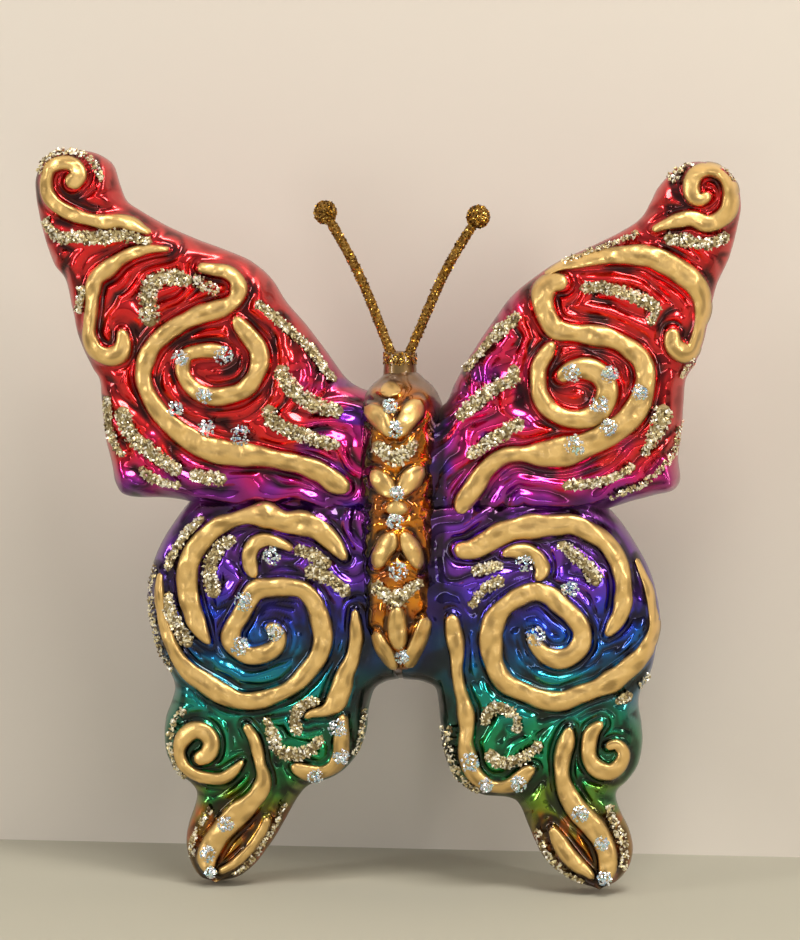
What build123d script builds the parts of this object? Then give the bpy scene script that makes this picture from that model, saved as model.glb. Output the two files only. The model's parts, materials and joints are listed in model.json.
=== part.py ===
from build123d import *
import os
from math import acos, asin, atan2, cos, degrees, hypot, pi, radians, sin, sqrt, tan

# A butterfly tree ornament of mouth-blown, silvered glass with a spring clip at its back.
# One hollow glass bubble forms the four wings, the body, the head stub and the rear pike.
# Raised gold scrolls, glitter strokes and crystal dots are laid on its front.
# Two glitter-coated wires with beads stand in the head stub.
# A metal ferrule on the rear pike carries a sprung two-leaf clip that grips a branch.
#
# Axes: +Z up towards the head, -Y is the decorated front, +X is the right wing as seen.
# The origin is the centre of the clip's branch groove.
# Outlines are pixel places of the photograph (column, row), turned into mm by the wing span.

# Overall size and the photograph's scale
WING_SPAN = 134.0
SPAN_LEFT_COLUMN = 33
SPAN_RIGHT_COLUMN = 738
AXIS_COLUMN = 402
GRIP_ROW = 560
MM_PER_PX = WING_SPAN / (SPAN_RIGHT_COLUMN - SPAN_LEFT_COLUMN)
VIEW_AZIMUTH = radians(7.0)
VIEW_ELEVATION = radians(5.0)

# Glass bubble; the wings' depths are half thicknesses at the root and at the tip
GLASS_WALL = 1.1
FOREWING_ROOT_DEPTH = 8.2
FOREWING_TIP_DEPTH = 4.8
HINDWING_ROOT_DEPTH = 8.4
HINDWING_TIP_DEPTH = 3.8
WING_RIM = 4.6
BODY_FRONT = 14.2
BODY_BACK = 9.4
STUB_RADIUS = 3.05
STUB_BORE = 2.45
PIKE_RADIUS = 5.0
PIKE_BORE = 3.9
PIKE_REACH = 7.0
RIM_FACES = 4
RIM_EDGES = 12

# Shares that keep a rim clear of the middle of a narrow lobe, and ease its width along the edge
ROOM_SHARE = 0.7
EASE_SHARE = 0.4

# Antennae
WIRE_RADIUS = 0.45
COAT_RADIUS = 0.95
BEAD_RADIUS = 2.35
BEAD_SOCKET = 2.6
WIRE_FIT = 0.05
PLUG_FIT = 0.05
PLUG_LENGTH = 5.0
WIRE_FOOT = 0.62
WIRE_KNEE = 1.05
KNEE_DEPTH = 1.9
COAT_LIFT = 0.57
BEND_SHARE = 0.45

# Applied decoration
GOLD_RISE = 1.0
GLITTER_RISE = 0.9
CRYSTAL_RISE = 0.9
GLUE_LINE = 0.19
TRIM_STEP = 1.8
LEAST_BOW = 0.03
LEAST_WIDTH = 3.0
EDGE_SHARES = (1.0, 0.8, 0.6, 0.4, 0.2, 0.1)

# Clip
FERRULE_WALL = 0.4
FERRULE_FIT = 0.1
FERRULE_LENGTH = 6.0
LEAF_THICKNESS = 0.7
LEAF_WIDTH = 10.0
LEAF_GAP = 2.7
LIP_GAP = 0.2
GRIP_RADIUS = 3.0
JAW_DROP = 13.0
LIP_LENGTH = 1.6
TIP_FLARE = 1.0
TAB_RISE = 12.5
TAB_SPREAD = 6.06
TAB_BEND = 2.0
EAR_RADIUS = 2.2
EAR_FIT = 0.2
PIN_RADIUS = 0.8
PIN_FIT = 0.05
PIN_HEAD_RADIUS = 1.3
PIN_HEAD = 0.5
SPRING_WIRE = 0.35
SPRING_RADIUS = 1.75
SPRING_PITCH = 1.25
SPRING_FULL_TURNS = 3
SPRING_LEG = 8.0
SPRING_LEG_FIT = 0.15
STAPLE_WIRE = 0.4
STAPLE_HALF = 2.0
STAPLE_SPLAY = 3.2
STAPLE_LEG = 9.0
STAPLE_STRAIGHT = 1.6
STAPLE_BEND = 0.6
STAPLE_FIT = 0.06

# Rows and columns of the pieces that are set on the body
PIKE_ROW = 444
STUB_COLUMN = 400
STUB_TOP_ROW = 352
STUB_FOOT_ROW = 392
LEFT_ANTENNA = ((360, 275), (325, 213))
RIGHT_ANTENNA = ((446, 268), (478, 217))

# Wing outlines, from the root's first corner round the tip and back to the root
LEFT_FOREWING = (
    (397, 392), (380, 392), (362, 389), (345, 378), (325, 351), (305, 325), (285, 302), (270, 279),
    (250, 262), (225, 251), (195, 240), (165, 227), (140, 213), (124, 202), (117, 186), (111, 168),
    (102, 159), (88, 153), (68, 151), (50, 153), (40, 163), (33, 178), (32, 192), (35, 215),
    (41, 240), (50, 265), (62, 282), (69, 313), (76, 342), (88, 368), (96, 382), (98, 402),
    (102, 440), (108, 465), (112, 484), (120, 496), (135, 500), (160, 500), (185, 503), (205, 510),
    (250, 516), (320, 518), (397, 519),
)
LEFT_FOREWING_TIP = (43, 159)
RIGHT_FOREWING = (
    (407, 412), (430, 411), (446, 402), (455, 383), (466, 363), (478, 343), (495, 318), (512, 295),
    (535, 276), (558, 261), (590, 246), (622, 230), (640, 217), (650, 200), (656, 188), (669, 174),
    (688, 163), (707, 163), (722, 168), (733, 181), (738, 203), (735, 225), (727, 256), (715, 283),
    (708, 312), (702, 340), (694, 361), (685, 377), (683, 400), (681, 430), (678, 455), (680, 476),
    (673, 487), (655, 492), (630, 499), (612, 505), (590, 511), (540, 516), (470, 518), (407, 519),
)
RIGHT_FOREWING_TIP = (725, 170)
LEFT_HINDWING = (
    (399, 492), (330, 492), (270, 491), (225, 492), (203, 494), (188, 503), (175, 519), (160, 542),
    (150, 565), (145, 590), (146, 617), (149, 640), (156, 660), (167, 678), (171, 690), (169, 703),
    (162, 722), (160, 742), (163, 762), (174, 780), (187, 790), (193, 800), (190, 815), (184, 833),
    (182, 852), (187, 872), (198, 886), (215, 889), (235, 885), (252, 872), (270, 848), (283, 826),
    (296, 803), (308, 790), (330, 782), (345, 772), (358, 755), (366, 733), (368, 712), (374, 692),
    (386, 683), (399, 680),
)
LEFT_HINDWING_TIP = (216, 889)
RIGHT_HINDWING = (
    (405, 492), (470, 492), (530, 491), (572, 492), (594, 494), (608, 505), (622, 520), (637, 543),
    (649, 565), (657, 590), (661, 620), (657, 645), (652, 668), (642, 688), (640, 702), (643, 722),
    (644, 740), (640, 762), (630, 778), (620, 788), (618, 797), (623, 812), (631, 828), (635, 848),
    (631, 866), (620, 880), (603, 888), (580, 882), (556, 869), (542, 852), (530, 826), (521, 805),
    (510, 798), (485, 796), (466, 788), (452, 772), (444, 750), (441, 722), (439, 702), (436, 688),
    (424, 682), (405, 680),
)
RIGHT_HINDWING_TIP = (603, 889)

# Body sections: (row, half width in pixels, share of the front depth, share of the back depth)
BODY_SECTIONS = (
    (372, 15, 0.22, 0.30), (378, 22, 0.36, 0.42), (386, 31, 0.60, 0.62),
    (396, 37, 0.84, 0.82), (412, 42, 0.98, 0.95), (440, 43, 1.00, 1.00),
    (500, 43, 1.00, 1.00), (560, 42, 0.98, 1.00), (610, 39, 0.93, 0.95),
    (640, 34, 0.82, 0.85), (660, 25, 0.62, 0.65), (671, 15, 0.38, 0.40),
)
BODY_FLANK_SHARES = ((0.93, 0.45), (0.72, 0.80), (0.38, 0.96))

# Gold scrolls: (column, row, width in pixels) along each band
LEFT_FOREWING_TIP_SCROLL = ((
    (71, 186, 18), (78, 178, 17), (72, 168, 14), (60, 166, 13), (49, 171, 13), (45, 182, 11),
    (45, 194, 12), (50, 204, 14), (60, 212, 14), (75, 219, 13), (90, 223, 11), (105, 225, 14),
    (120, 224, 14), (132, 227, 14), (142, 232, 8), (150, 235, 3),
),)
LEFT_FOREWING_EDGE_SCROLL = ((
    (168, 252, 3), (150, 252, 8), (133, 256, 11), (119, 263, 13), (107, 272, 17), (95, 281, 16),
    (91, 295, 14), (90, 310, 13), (88, 325, 12), (87, 340, 14), (93, 353, 17), (105, 359, 17),
    (117, 357, 19), (122, 347, 15), (121, 335, 10),
),)
LEFT_FOREWING_MAIN_SCROLL = ((
    (200, 270, 9), (212, 272, 12), (226, 274, 13), (236, 281, 14), (239, 291, 16), (236, 301, 14),
    (228, 308, 16), (215, 313, 18), (200, 317, 18), (183, 325, 17), (167, 335, 17), (153, 348, 17),
    (145, 363, 17), (142, 380, 16), (147, 396, 16), (155, 410, 17), (167, 424, 19), (183, 437, 22),
    (202, 448, 24), (222, 454, 24), (243, 456, 24), (262, 458, 20), (282, 462, 18), (302, 466, 19),
    (320, 473, 21), (335, 483, 21), (345, 488, 16),
), (
    (236, 321, 8), (241, 328, 14), (249, 338, 17), (258, 350, 19), (260, 364, 19), (255, 379, 17),
    (245, 391, 17), (230, 397, 17), (213, 399, 17), (198, 394, 17), (187, 384, 14), (182, 371, 14),
    (186, 358, 13), (198, 354, 13), (212, 353, 14), (222, 354, 12),
))
LEFT_HINDWING_ARC = ((
    (345, 558, 8), (335, 545, 16), (320, 531, 22), (303, 524, 24), (285, 523, 22), (267, 517, 24),
    (250, 517, 19), (232, 522, 14), (216, 529, 17), (202, 542, 20), (191, 557, 21), (186, 574, 22),
    (186, 592, 21), (190, 611, 21), (196, 627, 18), (202, 638, 12), (208, 646, 4),
),)
LEFT_HINDWING_SPIRAL = ((
    (158, 577, 4), (157, 592, 8), (158, 610, 9), (162, 628, 11), (168, 646, 13), (176, 662, 15),
    (188, 676, 18), (203, 686, 20), (218, 695, 22), (237, 703, 18), (256, 703, 17), (275, 697, 16),
    (292, 688, 15), (306, 674, 17), (318, 658, 18), (323, 640, 20), (320, 620, 19), (314, 603, 18),
    (303, 591, 18), (287, 588, 18), (270, 589, 18), (255, 592, 20), (247, 604, 18), (240, 617, 19),
    (232, 630, 18), (230, 643, 20), (238, 653, 17), (251, 658, 18), (265, 655, 17), (276, 648, 15),
    (279, 638, 13), (274, 630, 12), (267, 629, 8),
), (
    (292, 550, 5), (280, 544, 10), (267, 541, 12), (255, 545, 14), (249, 556, 15), (250, 568, 15),
    (254, 577, 8),
))
LEFT_HINDWING_STEM = ((
    (355, 611, 6), (356, 625, 11), (356, 643, 13), (352, 660, 14), (345, 675, 18), (341, 690, 22),
    (335, 704, 20), (325, 712, 12), (312, 715, 7), (305, 719, 4),
), (
    (343, 718, 9), (342, 728, 12), (341, 742, 15), (340, 757, 16), (334, 769, 15),
    (322, 775, 13), (309, 776, 16), (298, 772, 13), (292, 769, 7),
))
LEFT_HINDWING_SMALL_SPIRAL = ((
    (196, 764, 14), (206, 758, 17), (209, 746, 16), (202, 736, 18), (190, 735, 18), (180, 744, 16),
    (176, 757, 11), (180, 770, 11), (190, 779, 11), (205, 783, 11), (220, 783, 12), (232, 775, 10),
    (241, 765, 3),
),)
LEFT_TAIL_LEAF = ((
    (245, 729, 7), (252, 741, 10), (256, 754, 11), (259, 768, 10), (262, 781, 13), (259, 794, 18),
    (250, 806, 20), (235, 820, 24), (220, 836, 22), (210, 850, 22), (204, 864, 20), (205, 876, 12),
), (
    (218, 878, 6), (229, 872, 7), (241, 862, 8), (252, 850, 8), (261, 836, 8), (266, 824, 6),
))
RIGHT_FOREWING_TIP_SCROLL = ((
    (703, 198, 10), (696, 202, 11), (689, 198, 14), (687, 187, 16), (692, 176, 16), (704, 171, 15),
    (717, 175, 15), (725, 185, 17), (727, 199, 17), (724, 212, 17), (715, 221, 16), (702, 225, 15),
    (688, 220, 15), (674, 222, 14), (662, 226, 9), (650, 231, 5),
),)
RIGHT_FOREWING_EDGE_SCROLL = ((
    (545, 274, 4), (560, 266, 9), (580, 261, 14), (602, 257, 16), (625, 256, 19), (645, 257, 20),
    (662, 264, 23), (678, 273, 23), (691, 284, 22), (699, 298, 18), (700, 312, 16), (697, 326, 12),
    (694, 339, 12), (689, 350, 15), (678, 351, 18), (670, 343, 16), (669, 332, 13),
),)
RIGHT_FOREWING_MAIN_SCROLL = ((
    (560, 283, 18), (549, 284, 20), (542, 293, 22), (542, 306, 22), (547, 320, 20), (556, 330, 20),
    (573, 333, 17), (590, 335, 20), (608, 338, 18), (624, 346, 18), (638, 358, 20), (643, 373, 20),
    (641, 390, 21), (635, 406, 23), (624, 420, 24), (609, 431, 25), (592, 440, 24), (575, 447, 28),
    (557, 451, 30), (540, 453, 24), (523, 453, 15), (508, 454, 14), (494, 461, 17), (483, 472, 18),
    (474, 486, 20), (465, 499, 20), (460, 508, 14),
), (
    (551, 344, 8), (546, 352, 14), (538, 366, 15), (537, 380, 15), (539, 395, 16), (548, 408, 17),
    (562, 416, 18), (580, 418, 18), (595, 412, 20), (603, 400, 22), (605, 386, 22), (598, 374, 22),
    (585, 368, 22), (571, 369, 19), (560, 376, 14),
))
RIGHT_HINDWING_ARC = ((
    (459, 549, 16), (472, 548, 20), (487, 540, 22), (503, 531, 22), (520, 526, 22), (537, 524, 24),
    (555, 523, 20), (572, 522, 19), (588, 529, 19), (602, 537, 18), (612, 549, 18), (619, 564, 17),
    (622, 580, 17), (622, 597, 18), (619, 611, 17), (612, 623, 13), (606, 631, 6),
),)
RIGHT_HINDWING_SPIRAL = ((
    (636, 556, 3), (642, 570, 6), (649, 587, 8), (652, 605, 9), (655, 622, 11), (650, 638, 15),
    (641, 652, 18), (627, 665, 20), (612, 677, 22), (596, 685, 17), (580, 691, 18), (562, 698, 20),
    (543, 697, 19), (525, 690, 18), (507, 682, 20), (497, 669, 20), (492, 652, 22), (491, 634, 23),
    (495, 617, 22), (505, 604, 19), (520, 594, 18), (535, 589, 18), (549, 593, 19), (561, 603, 19),
    (573, 614, 19), (581, 627, 18), (580, 641, 20), (571, 652, 19), (558, 656, 20), (545, 652, 17),
    (536, 643, 14), (531, 634, 10),
), (
    (503, 552, 6), (514, 549, 12), (526, 549, 14), (537, 556, 14), (542, 567, 14), (537, 576, 8),
))
RIGHT_HINDWING_STEM = ((
    (452, 617, 13), (454, 632, 16), (457, 650, 14), (457, 667, 11), (459, 683, 11), (463, 698, 12),
    (466, 712, 16), (467, 727, 15), (466, 742, 14), (468, 756, 18), (472, 769, 16), (481, 780, 15),
    (495, 786, 12), (509, 785, 14), (520, 778, 16), (528, 770, 12), (533, 767, 8),
),)
RIGHT_HINDWING_SMALL_SPIRAL = ((
    (601, 720, 7), (592, 729, 13), (589, 742, 14), (590, 756, 15), (598, 766, 17), (610, 769, 16),
    (620, 762, 14), (624, 750, 12), (617, 741, 10), (608, 743, 8),
),)
RIGHT_TAIL_LEAF = ((
    (569, 727, 9), (567, 737, 15), (563, 752, 16), (562, 767, 14), (564, 781, 16), (570, 795, 20),
    (579, 809, 22), (592, 822, 22), (602, 836, 20), (608, 851, 20), (609, 865, 18), (606, 877, 12),
), (
    (553, 828, 8), (560, 840, 14), (567, 851, 16), (578, 863, 14), (588, 870, 9), (594, 876, 4),
))
BODY_PETALS = (
    ((383, 392, 8), (390, 390, 13), (398, 391, 8)),
    ((368, 410, 12), (378, 417, 17), (387, 428, 13), (391, 436, 5)),
    ((417, 405, 15), (410, 416, 19), (403, 427, 13), (400, 436, 5)),
    ((374, 473, 10), (381, 481, 18), (389, 490, 14), (393, 496, 5)),
    ((421, 470, 11), (412, 478, 18), (405, 487, 14), (401, 495, 5)),
    ((389, 508, 8), (397, 508, 16), (405, 508, 8)),
    ((393, 533, 7), (388, 542, 16), (381, 554, 16), (377, 564, 10)),
    ((404, 533, 7), (409, 543, 15), (415, 555, 14), (419, 565, 8)),
    ((397, 608, 12), (397, 626, 16), (399, 645, 11)),
    ((376, 633, 8), (382, 646, 12), (389, 658, 11), (395, 668, 5)),
    ((426, 619, 9), (420, 637, 13), (413, 653, 12), (408, 665, 8)),
)

# Glitter strokes: (column, row, width in pixels) along each stroke
LEFT_FOREWING_GLITTER = (
    ((42, 222, 6), (50, 235, 8), (60, 240, 9), (75, 240, 10), (90, 240, 11), (105, 240, 11),
     (120, 238, 10), (135, 241, 8), (150, 245, 5)),
    ((149, 325, 15), (149, 310, 14), (147, 295, 14), (155, 284, 13), (168, 280, 12), (180, 281, 11),
     (190, 284, 8)),
    ((80, 290, 7), (79, 302, 6), (75, 315, 5)),
    ((105, 400, 5), (105, 414, 7), (107, 433, 7), (113, 448, 6), (122, 459, 4)),
    ((121, 412, 11), (124, 427, 12), (134, 442, 12), (149, 453, 11), (163, 464, 10), (178, 474, 10)),
    ((190, 476, 8), (205, 479, 10), (224, 481, 9)),
    ((139, 471, 6), (150, 480, 7), (164, 485, 6), (179, 488, 5)),
    ((257, 305, 6), (272, 316, 7), (287, 329, 7), (302, 342, 7), (315, 355, 7), (324, 368, 6),
     (335, 381, 6)),
    ((280, 370, 11), (287, 383, 12), (296, 394, 12), (309, 403, 12), (324, 409, 11), (341, 412, 9)),
    ((269, 409, 10), (271, 420, 11), (281, 428, 11), (294, 434, 11), (309, 438, 10), (324, 443, 9),
     (339, 446, 7)),
)
LEFT_HINDWING_GLITTER = (
    ((234, 540, 6), (223, 546, 9), (214, 556, 10), (210, 567, 10), (209, 578, 11), (211, 588, 12),
     (214, 597, 11)),
    ((202, 520, 5), (193, 528, 7), (184, 537, 7), (176, 548, 7), (170, 559, 6), (166, 573, 5)),
    ((167, 596, 6), (167, 611, 9), (173, 624, 10), (180, 637, 10), (187, 648, 9)),
    ((296, 550, 8), (307, 553, 10), (318, 558, 10), (329, 566, 8)),
    ((307, 570, 9), (318, 574, 12), (329, 578, 10), (340, 586, 9), (348, 594, 8)),
    ((318, 701, 5), (310, 704, 8), (299, 709, 10), (294, 718, 8), (295, 728, 10), (299, 736, 6)),
    ((266, 721, 4), (269, 730, 7), (273, 740, 10), (276, 750, 10), (286, 756, 10), (298, 756, 10),
     (310, 752, 9), (317, 745, 8), (321, 738, 5)),
)
RIGHT_FOREWING_GLITTER = (
    ((662, 239, 7), (672, 240, 9), (684, 242, 10), (696, 244, 9), (706, 244, 8), (716, 240, 8),
     (724, 236, 7)),
    ((580, 289, 8), (594, 288, 8), (608, 289, 9), (623, 294, 9), (638, 300, 11), (650, 305, 11),
     (652, 314, 7), (646, 323, 5)),
    ((517, 314, 5), (512, 321, 8), (502, 329, 11), (491, 339, 8), (482, 350, 6), (473, 360, 6),
     (465, 370, 6)),
    ((513, 367, 9), (513, 377, 10), (505, 383, 10), (495, 386, 9), (486, 393, 11), (477, 401, 11),
     (468, 408, 10), (459, 418, 8)),
    ((521, 421, 8), (511, 426, 10), (500, 434, 11), (489, 441, 10), (478, 448, 9), (468, 455, 9)),
    ((661, 406, 12), (660, 417, 14), (654, 429, 12), (648, 441, 7), (641, 453, 4)),
    ((632, 464, 6), (620, 471, 5), (606, 477, 6), (591, 481, 7), (577, 482, 8), (563, 484, 8)),
)
RIGHT_HINDWING_GLITTER = (
    ((502, 562, 5), (494, 564, 7), (484, 567, 9), (473, 570, 8)),
    ((502, 578, 8), (492, 582, 9), (484, 588, 7), (476, 597, 6), (471, 604, 6)),
    ((558, 541, 6), (566, 546, 9), (575, 553, 10), (584, 561, 10), (592, 570, 12), (595, 580, 10)),
    ((486, 723, 6), (486, 714, 8), (493, 707, 10), (503, 706, 9), (513, 711, 7), (518, 720, 5),
     (516, 729, 8)),
    ((491, 750, 9), (494, 758, 10), (503, 762, 9), (513, 759, 9), (523, 757, 9), (532, 750, 7),
     (540, 741, 7)),
    ((631, 692, 7), (624, 694, 8), (617, 699, 6)),
)
BODY_GLITTER = (
    ((376, 446, 11), (385, 452, 11), (396, 458, 13), (407, 452, 10), (416, 442, 5)),
    ((374, 585, 10), (384, 592, 11), (396, 598, 14), (408, 590, 10), (421, 580, 7)),
)

# Crystal dots: (column, row, radius in pixels)
LEFT_FOREWING_CRYSTALS = (
    (180, 361, 7), (224, 358, 8), (204, 398, 7), (174, 412, 7), (206, 430, 7), (240, 438, 9),
)
LEFT_HINDWING_CRYSTALS = (
    (272, 557, 8), (243, 603, 8), (239, 648, 8), (274, 634, 7), (337, 729, 8), (341, 758, 7),
    (314, 778, 7), (223, 829, 7), (205, 860, 7), (208, 879, 5),
)
RIGHT_FOREWING_CRYSTALS = (
    (570, 373, 8), (607, 374, 7), (597, 404, 8), (637, 391, 7), (606, 426, 7), (573, 444, 9),
)
RIGHT_HINDWING_CRYSTALS = (
    (524, 560, 8), (569, 586, 7), (535, 634, 8), (470, 761, 8), (486, 784, 6), (518, 782, 7),
    (580, 811, 7), (602, 841, 6), (605, 876, 6),
)
BODY_CRYSTALS = (
    (390, 407, 6), (395, 430, 7), (397, 493, 6), (395, 521, 7), (398, 570, 8), (402, 656, 6),
)

# Places worked out from the sizes above
LEAF_FRONT = LEAF_GAP + LEAF_THICKNESS
FERRULE_FRONT = LEAF_FRONT + FERRULE_WALL
GRIP_DEPTH = BODY_BACK + PIKE_REACH + FERRULE_FIT + FERRULE_FRONT
PIKE_HEIGHT = (GRIP_ROW - PIKE_ROW) * MM_PER_PX
FORWARD = Vector(0, -1, 0)
SIGHT = Vector(tan(VIEW_AZIMUTH), -1, tan(VIEW_ELEVATION))
RISE_STEPS = [radians(90 * step / RIM_FACES) for step in range(RIM_FACES + 1)]


def at(column, row):
    """A pixel's place on the wings' middle plane."""
    return Vector((column - AXIS_COLUMN) * MM_PER_PX, -GRIP_DEPTH, (GRIP_ROW - row) * MM_PER_PX)


def write(node, *solids):
    """Write one named piece, or a group of like pieces, as its own file."""
    shape = solids[0] if len(solids) == 1 else Compound(children=list(solids))
    export_step(shape, f"parts/{node}.step")
    print(node, len(shape.solids()), "solids", round(shape.volume, 1), "mm3")


def skinned(rings):
    """A solid between matching rings of edges, with a ruled face for each pair of edges."""
    faces = [Face(Wire(rings[0])), Face(Wire(rings[-1]))]
    for ring, following in zip(rings, rings[1:]):
        faces += [Face.make_surface_from_curves(*pair) for pair in zip(ring, following)]
    return Solid(Shell(faces))


def rod(start, end, radius):
    """A straight round bar between two places."""
    run = end - start
    return Solid.make_cylinder(radius, run.length, Plane(origin=start, z_dir=run))


def rim_reaches(places, normals):
    """How far the rim reaches in from each place: less where the lobe is narrow."""
    reaches = []
    for place, normal in zip(places, normals):
        chords = [other - place for other in places]
        rooms = [chord.length ** 2 / (2 * chord.dot(normal)) for chord in chords
                 if chord.dot(normal) > 0]
        reaches.append(min(WING_RIM, ROOM_SHARE * min(rooms)))
    steps = [(far - near).length * EASE_SHARE for near, far in zip(places, places[1:])]
    for index, step in enumerate(steps, 1):
        reaches[index] = min(reaches[index], reaches[index - 1] + step)
    for index, step in reversed(list(enumerate(steps))):
        reaches[index] = min(reaches[index], reaches[index + 1] + step)
    return reaches


def wing(outline, tip, root_depth, tip_depth, inset=0.0):
    """A wing: a flat-faced pillow with rounded rims that thins towards its tip.

    Each ring follows the outline at one height of the rim. With an inset it is the hollow inside.
    """
    places = [at(*point) for point in outline]
    root = (places[0] + places[-1]) * 0.5
    span = at(*tip) - root
    last = len(places) - 1
    runs = [(places[min(k + 1, last)] - places[max(k - 1, 0)]).normalized() for k in range(last + 1)]
    turn = sum(a.X * b.Z - b.X * a.Z for a, b in zip(places, places[1:] + places[:1]))
    side = 1 if turn > 0 else -1
    normals = [Vector(-run.Z, 0, run.X) * side for run in runs]
    reaches = rim_reaches(places, normals)
    sums = [0.0]
    for near, far in zip(places, places[1:]):
        sums.append(sums[-1] + (far - near).length)
    cuts = [round(edge * last / RIM_EDGES) for edge in range(RIM_EDGES + 1)]

    def ring(angle, forward):
        spots = []
        for place, normal, reach in zip(places, normals, reaches):
            spot = place + normal * (inset + (1 - cos(angle)) * (reach - inset))
            share = (spot - root).dot(span) / span.dot(span)
            depth = root_depth + (tip_depth - root_depth) * share - inset
            spots.append(spot + FORWARD * (forward * depth * sin(angle)))
        ways = [(spots[min(k + 1, last)] - spots[max(k - 1, 0)]).normalized()
                for k in range(last + 1)]
        edges = []
        for a, b in zip(cuts, cuts[1:]):
            shares = [(sums[k] - sums[a]) / (sums[b] - sums[a]) for k in range(a, b + 1)]
            edges.append(Edge.make_spline(
                spots[a:b + 1], tangents=[ways[a], ways[b]], parameters=shares))
        edges.append(Edge.make_line(spots[-1], spots[0]))
        return edges

    back = [ring(angle, -1) for angle in reversed(RISE_STEPS)]
    front = [ring(angle, 1) for angle in RISE_STEPS[1:]]
    return skinned(back + front)


def body_ring(centre, half, front, back):
    """A closed ring of a front and a back curve round the body at one height."""
    flank = [(share * half, rise) for share, rise in BODY_FLANK_SHARES]
    left = centre - Vector(half, 0, 0)
    right = centre + Vector(half, 0, 0)
    ahead = [centre + Vector(-x, -rise * front, 0) for x, rise in flank]
    ahead += [centre + FORWARD * front]
    ahead += [centre + Vector(x, -rise * front, 0) for x, rise in reversed(flank)]
    behind = [centre + Vector(x, rise * back, 0) for x, rise in flank]
    behind += [centre - FORWARD * back]
    behind += [centre + Vector(-x, rise * back, 0) for x, rise in reversed(flank)]
    ends = [FORWARD, FORWARD * -1]
    return [
        Edge.make_spline([left, *ahead, right], tangents=ends),
        Edge.make_spline([right, *behind, left], tangents=ends[::-1]),
    ]


def body(inset=0.0):
    """The body between level rings; with an inset, the hollow inside it."""
    rings = []
    for row, half_pixels, front_share, back_share in BODY_SECTIONS:
        half = half_pixels * MM_PER_PX - inset
        front = front_share * BODY_FRONT - inset
        back = back_share * BODY_BACK - inset
        if min(half, front, back) > inset:
            rings.append(body_ring(at(AXIS_COLUMN, row), half, front, back))
    return skinned(rings)


def glass_skin(inset=0.0):
    """All the blown volumes joined: body, head stub, rear pike and four wings."""
    stub_top = at(STUB_COLUMN, STUB_TOP_ROW)
    stub_foot = at(STUB_COLUMN, STUB_FOOT_ROW)
    pike_root = at(AXIS_COLUMN, PIKE_ROW)
    pike_end = pike_root - FORWARD * (BODY_BACK + PIKE_REACH)
    if inset:
        stub = rod(stub_foot, stub_top + Vector(0, 0, inset), STUB_BORE)
        pike = rod(pike_root, pike_end - FORWARD * inset, PIKE_BORE)
    else:
        stub = rod(stub_foot, stub_top, STUB_RADIUS)
        pike = rod(pike_root, pike_end, PIKE_RADIUS)
    fore = (FOREWING_ROOT_DEPTH, FOREWING_TIP_DEPTH, inset)
    hind = (HINDWING_ROOT_DEPTH, HINDWING_TIP_DEPTH, inset)
    skin = body(inset).fuse(stub).fuse(pike)
    skin = skin.fuse(wing(LEFT_FOREWING, LEFT_FOREWING_TIP, *fore))
    skin = skin.fuse(wing(LEFT_HINDWING, LEFT_HINDWING_TIP, *hind))
    skin = skin.fuse(wing(RIGHT_FOREWING, RIGHT_FOREWING_TIP, *fore))
    return skin.fuse(wing(RIGHT_HINDWING, RIGHT_HINDWING_TIP, *hind))


def boxed(*shapes):
    """The faces of some shapes with their boxes, for finding what lies in front."""
    return [(face, face.bounding_box()) for shape in shapes for face in shape.faces()]


def front_at(surfaces, place, sight=FORWARD):
    """The foremost point of the surfaces in front of a place, looked at along a line of sight."""
    ray = Axis(place - sight * BODY_FRONT, sight)
    far = place + sight * BODY_FRONT
    hits = [spot for face, box in surfaces
            if box.min.X <= far.X and place.X <= box.max.X
            and box.min.Z <= far.Z and place.Z <= box.max.Z
            for spot, normal in face.find_intersection_points(ray)]
    return min(hits, key=lambda spot: spot.Y) if hits else None


def across(track, share, surfaces):
    """Where a strip's two edges and its middle lie on the front, at one share of its track."""
    spot = track.position_at(share)
    way = track.tangent_at(share)
    half = max(spot.Z, LEAST_WIDTH) / (2 * hypot(way.X, way.Y))
    found = [front_at(surfaces, at(spot.X, spot.Y), SIGHT)]
    for sign in (-1, 1):
        for width in EDGE_SHARES:
            out = sign * half * width
            edge = front_at(surfaces, at(spot.X - out * way.Y, spot.Y + out * way.X), SIGHT)
            if edge:
                break
        found.append(edge)
    return found


def bulge(place, surfaces):
    """How far the surfaces stand in front of a place, or nothing where they lie behind it."""
    seen = front_at(surfaces, place + SIGHT * (place.Y + GRIP_DEPTH), SIGHT)
    return place.Y - seen.Y if seen else 0.0


def band(points, rise, surfaces):
    """A raised strip laid on the front along (column, row, width) points.

    Each section is a lens between a low arc that follows the glass and a high arc, and is
    lifted by what the glass bulges between it and its neighbours.
    """
    track = Edge.make_spline([Vector(column, row, width) for column, row, width in points])
    count = max(2, round(track.length * MM_PER_PX / TRIM_STEP))
    found = [across(track, step / count, surfaces) for step in range(count + 1)]
    bulges = [0.0]
    for before, after in zip(found, found[1:]):
        chords = [(a + c) * 0.5 for a, c in zip(before, after)]
        bulges.append(max(bulge(chord, surfaces) for chord in chords))
    bulges.append(0.0)
    rings = []
    for step in range(count + 1):
        middle, left, right = found[step]
        lift = GLUE_LINE + max(bulges[step], bulges[step + 1], 0.0)
        bow = (left.Y + right.Y) / 2 - LEAST_BOW
        low = middle + SIGHT * (lift + max(0.0, middle.Y - bow))
        high = low + SIGHT * min(rise, (right - left).length / 2)
        left += SIGHT * lift
        right += SIGHT * lift
        rings.append([
            Edge.make_three_point_arc(left, high, right),
            Edge.make_three_point_arc(right, low, left),
        ])
    return skinned(rings)


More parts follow.
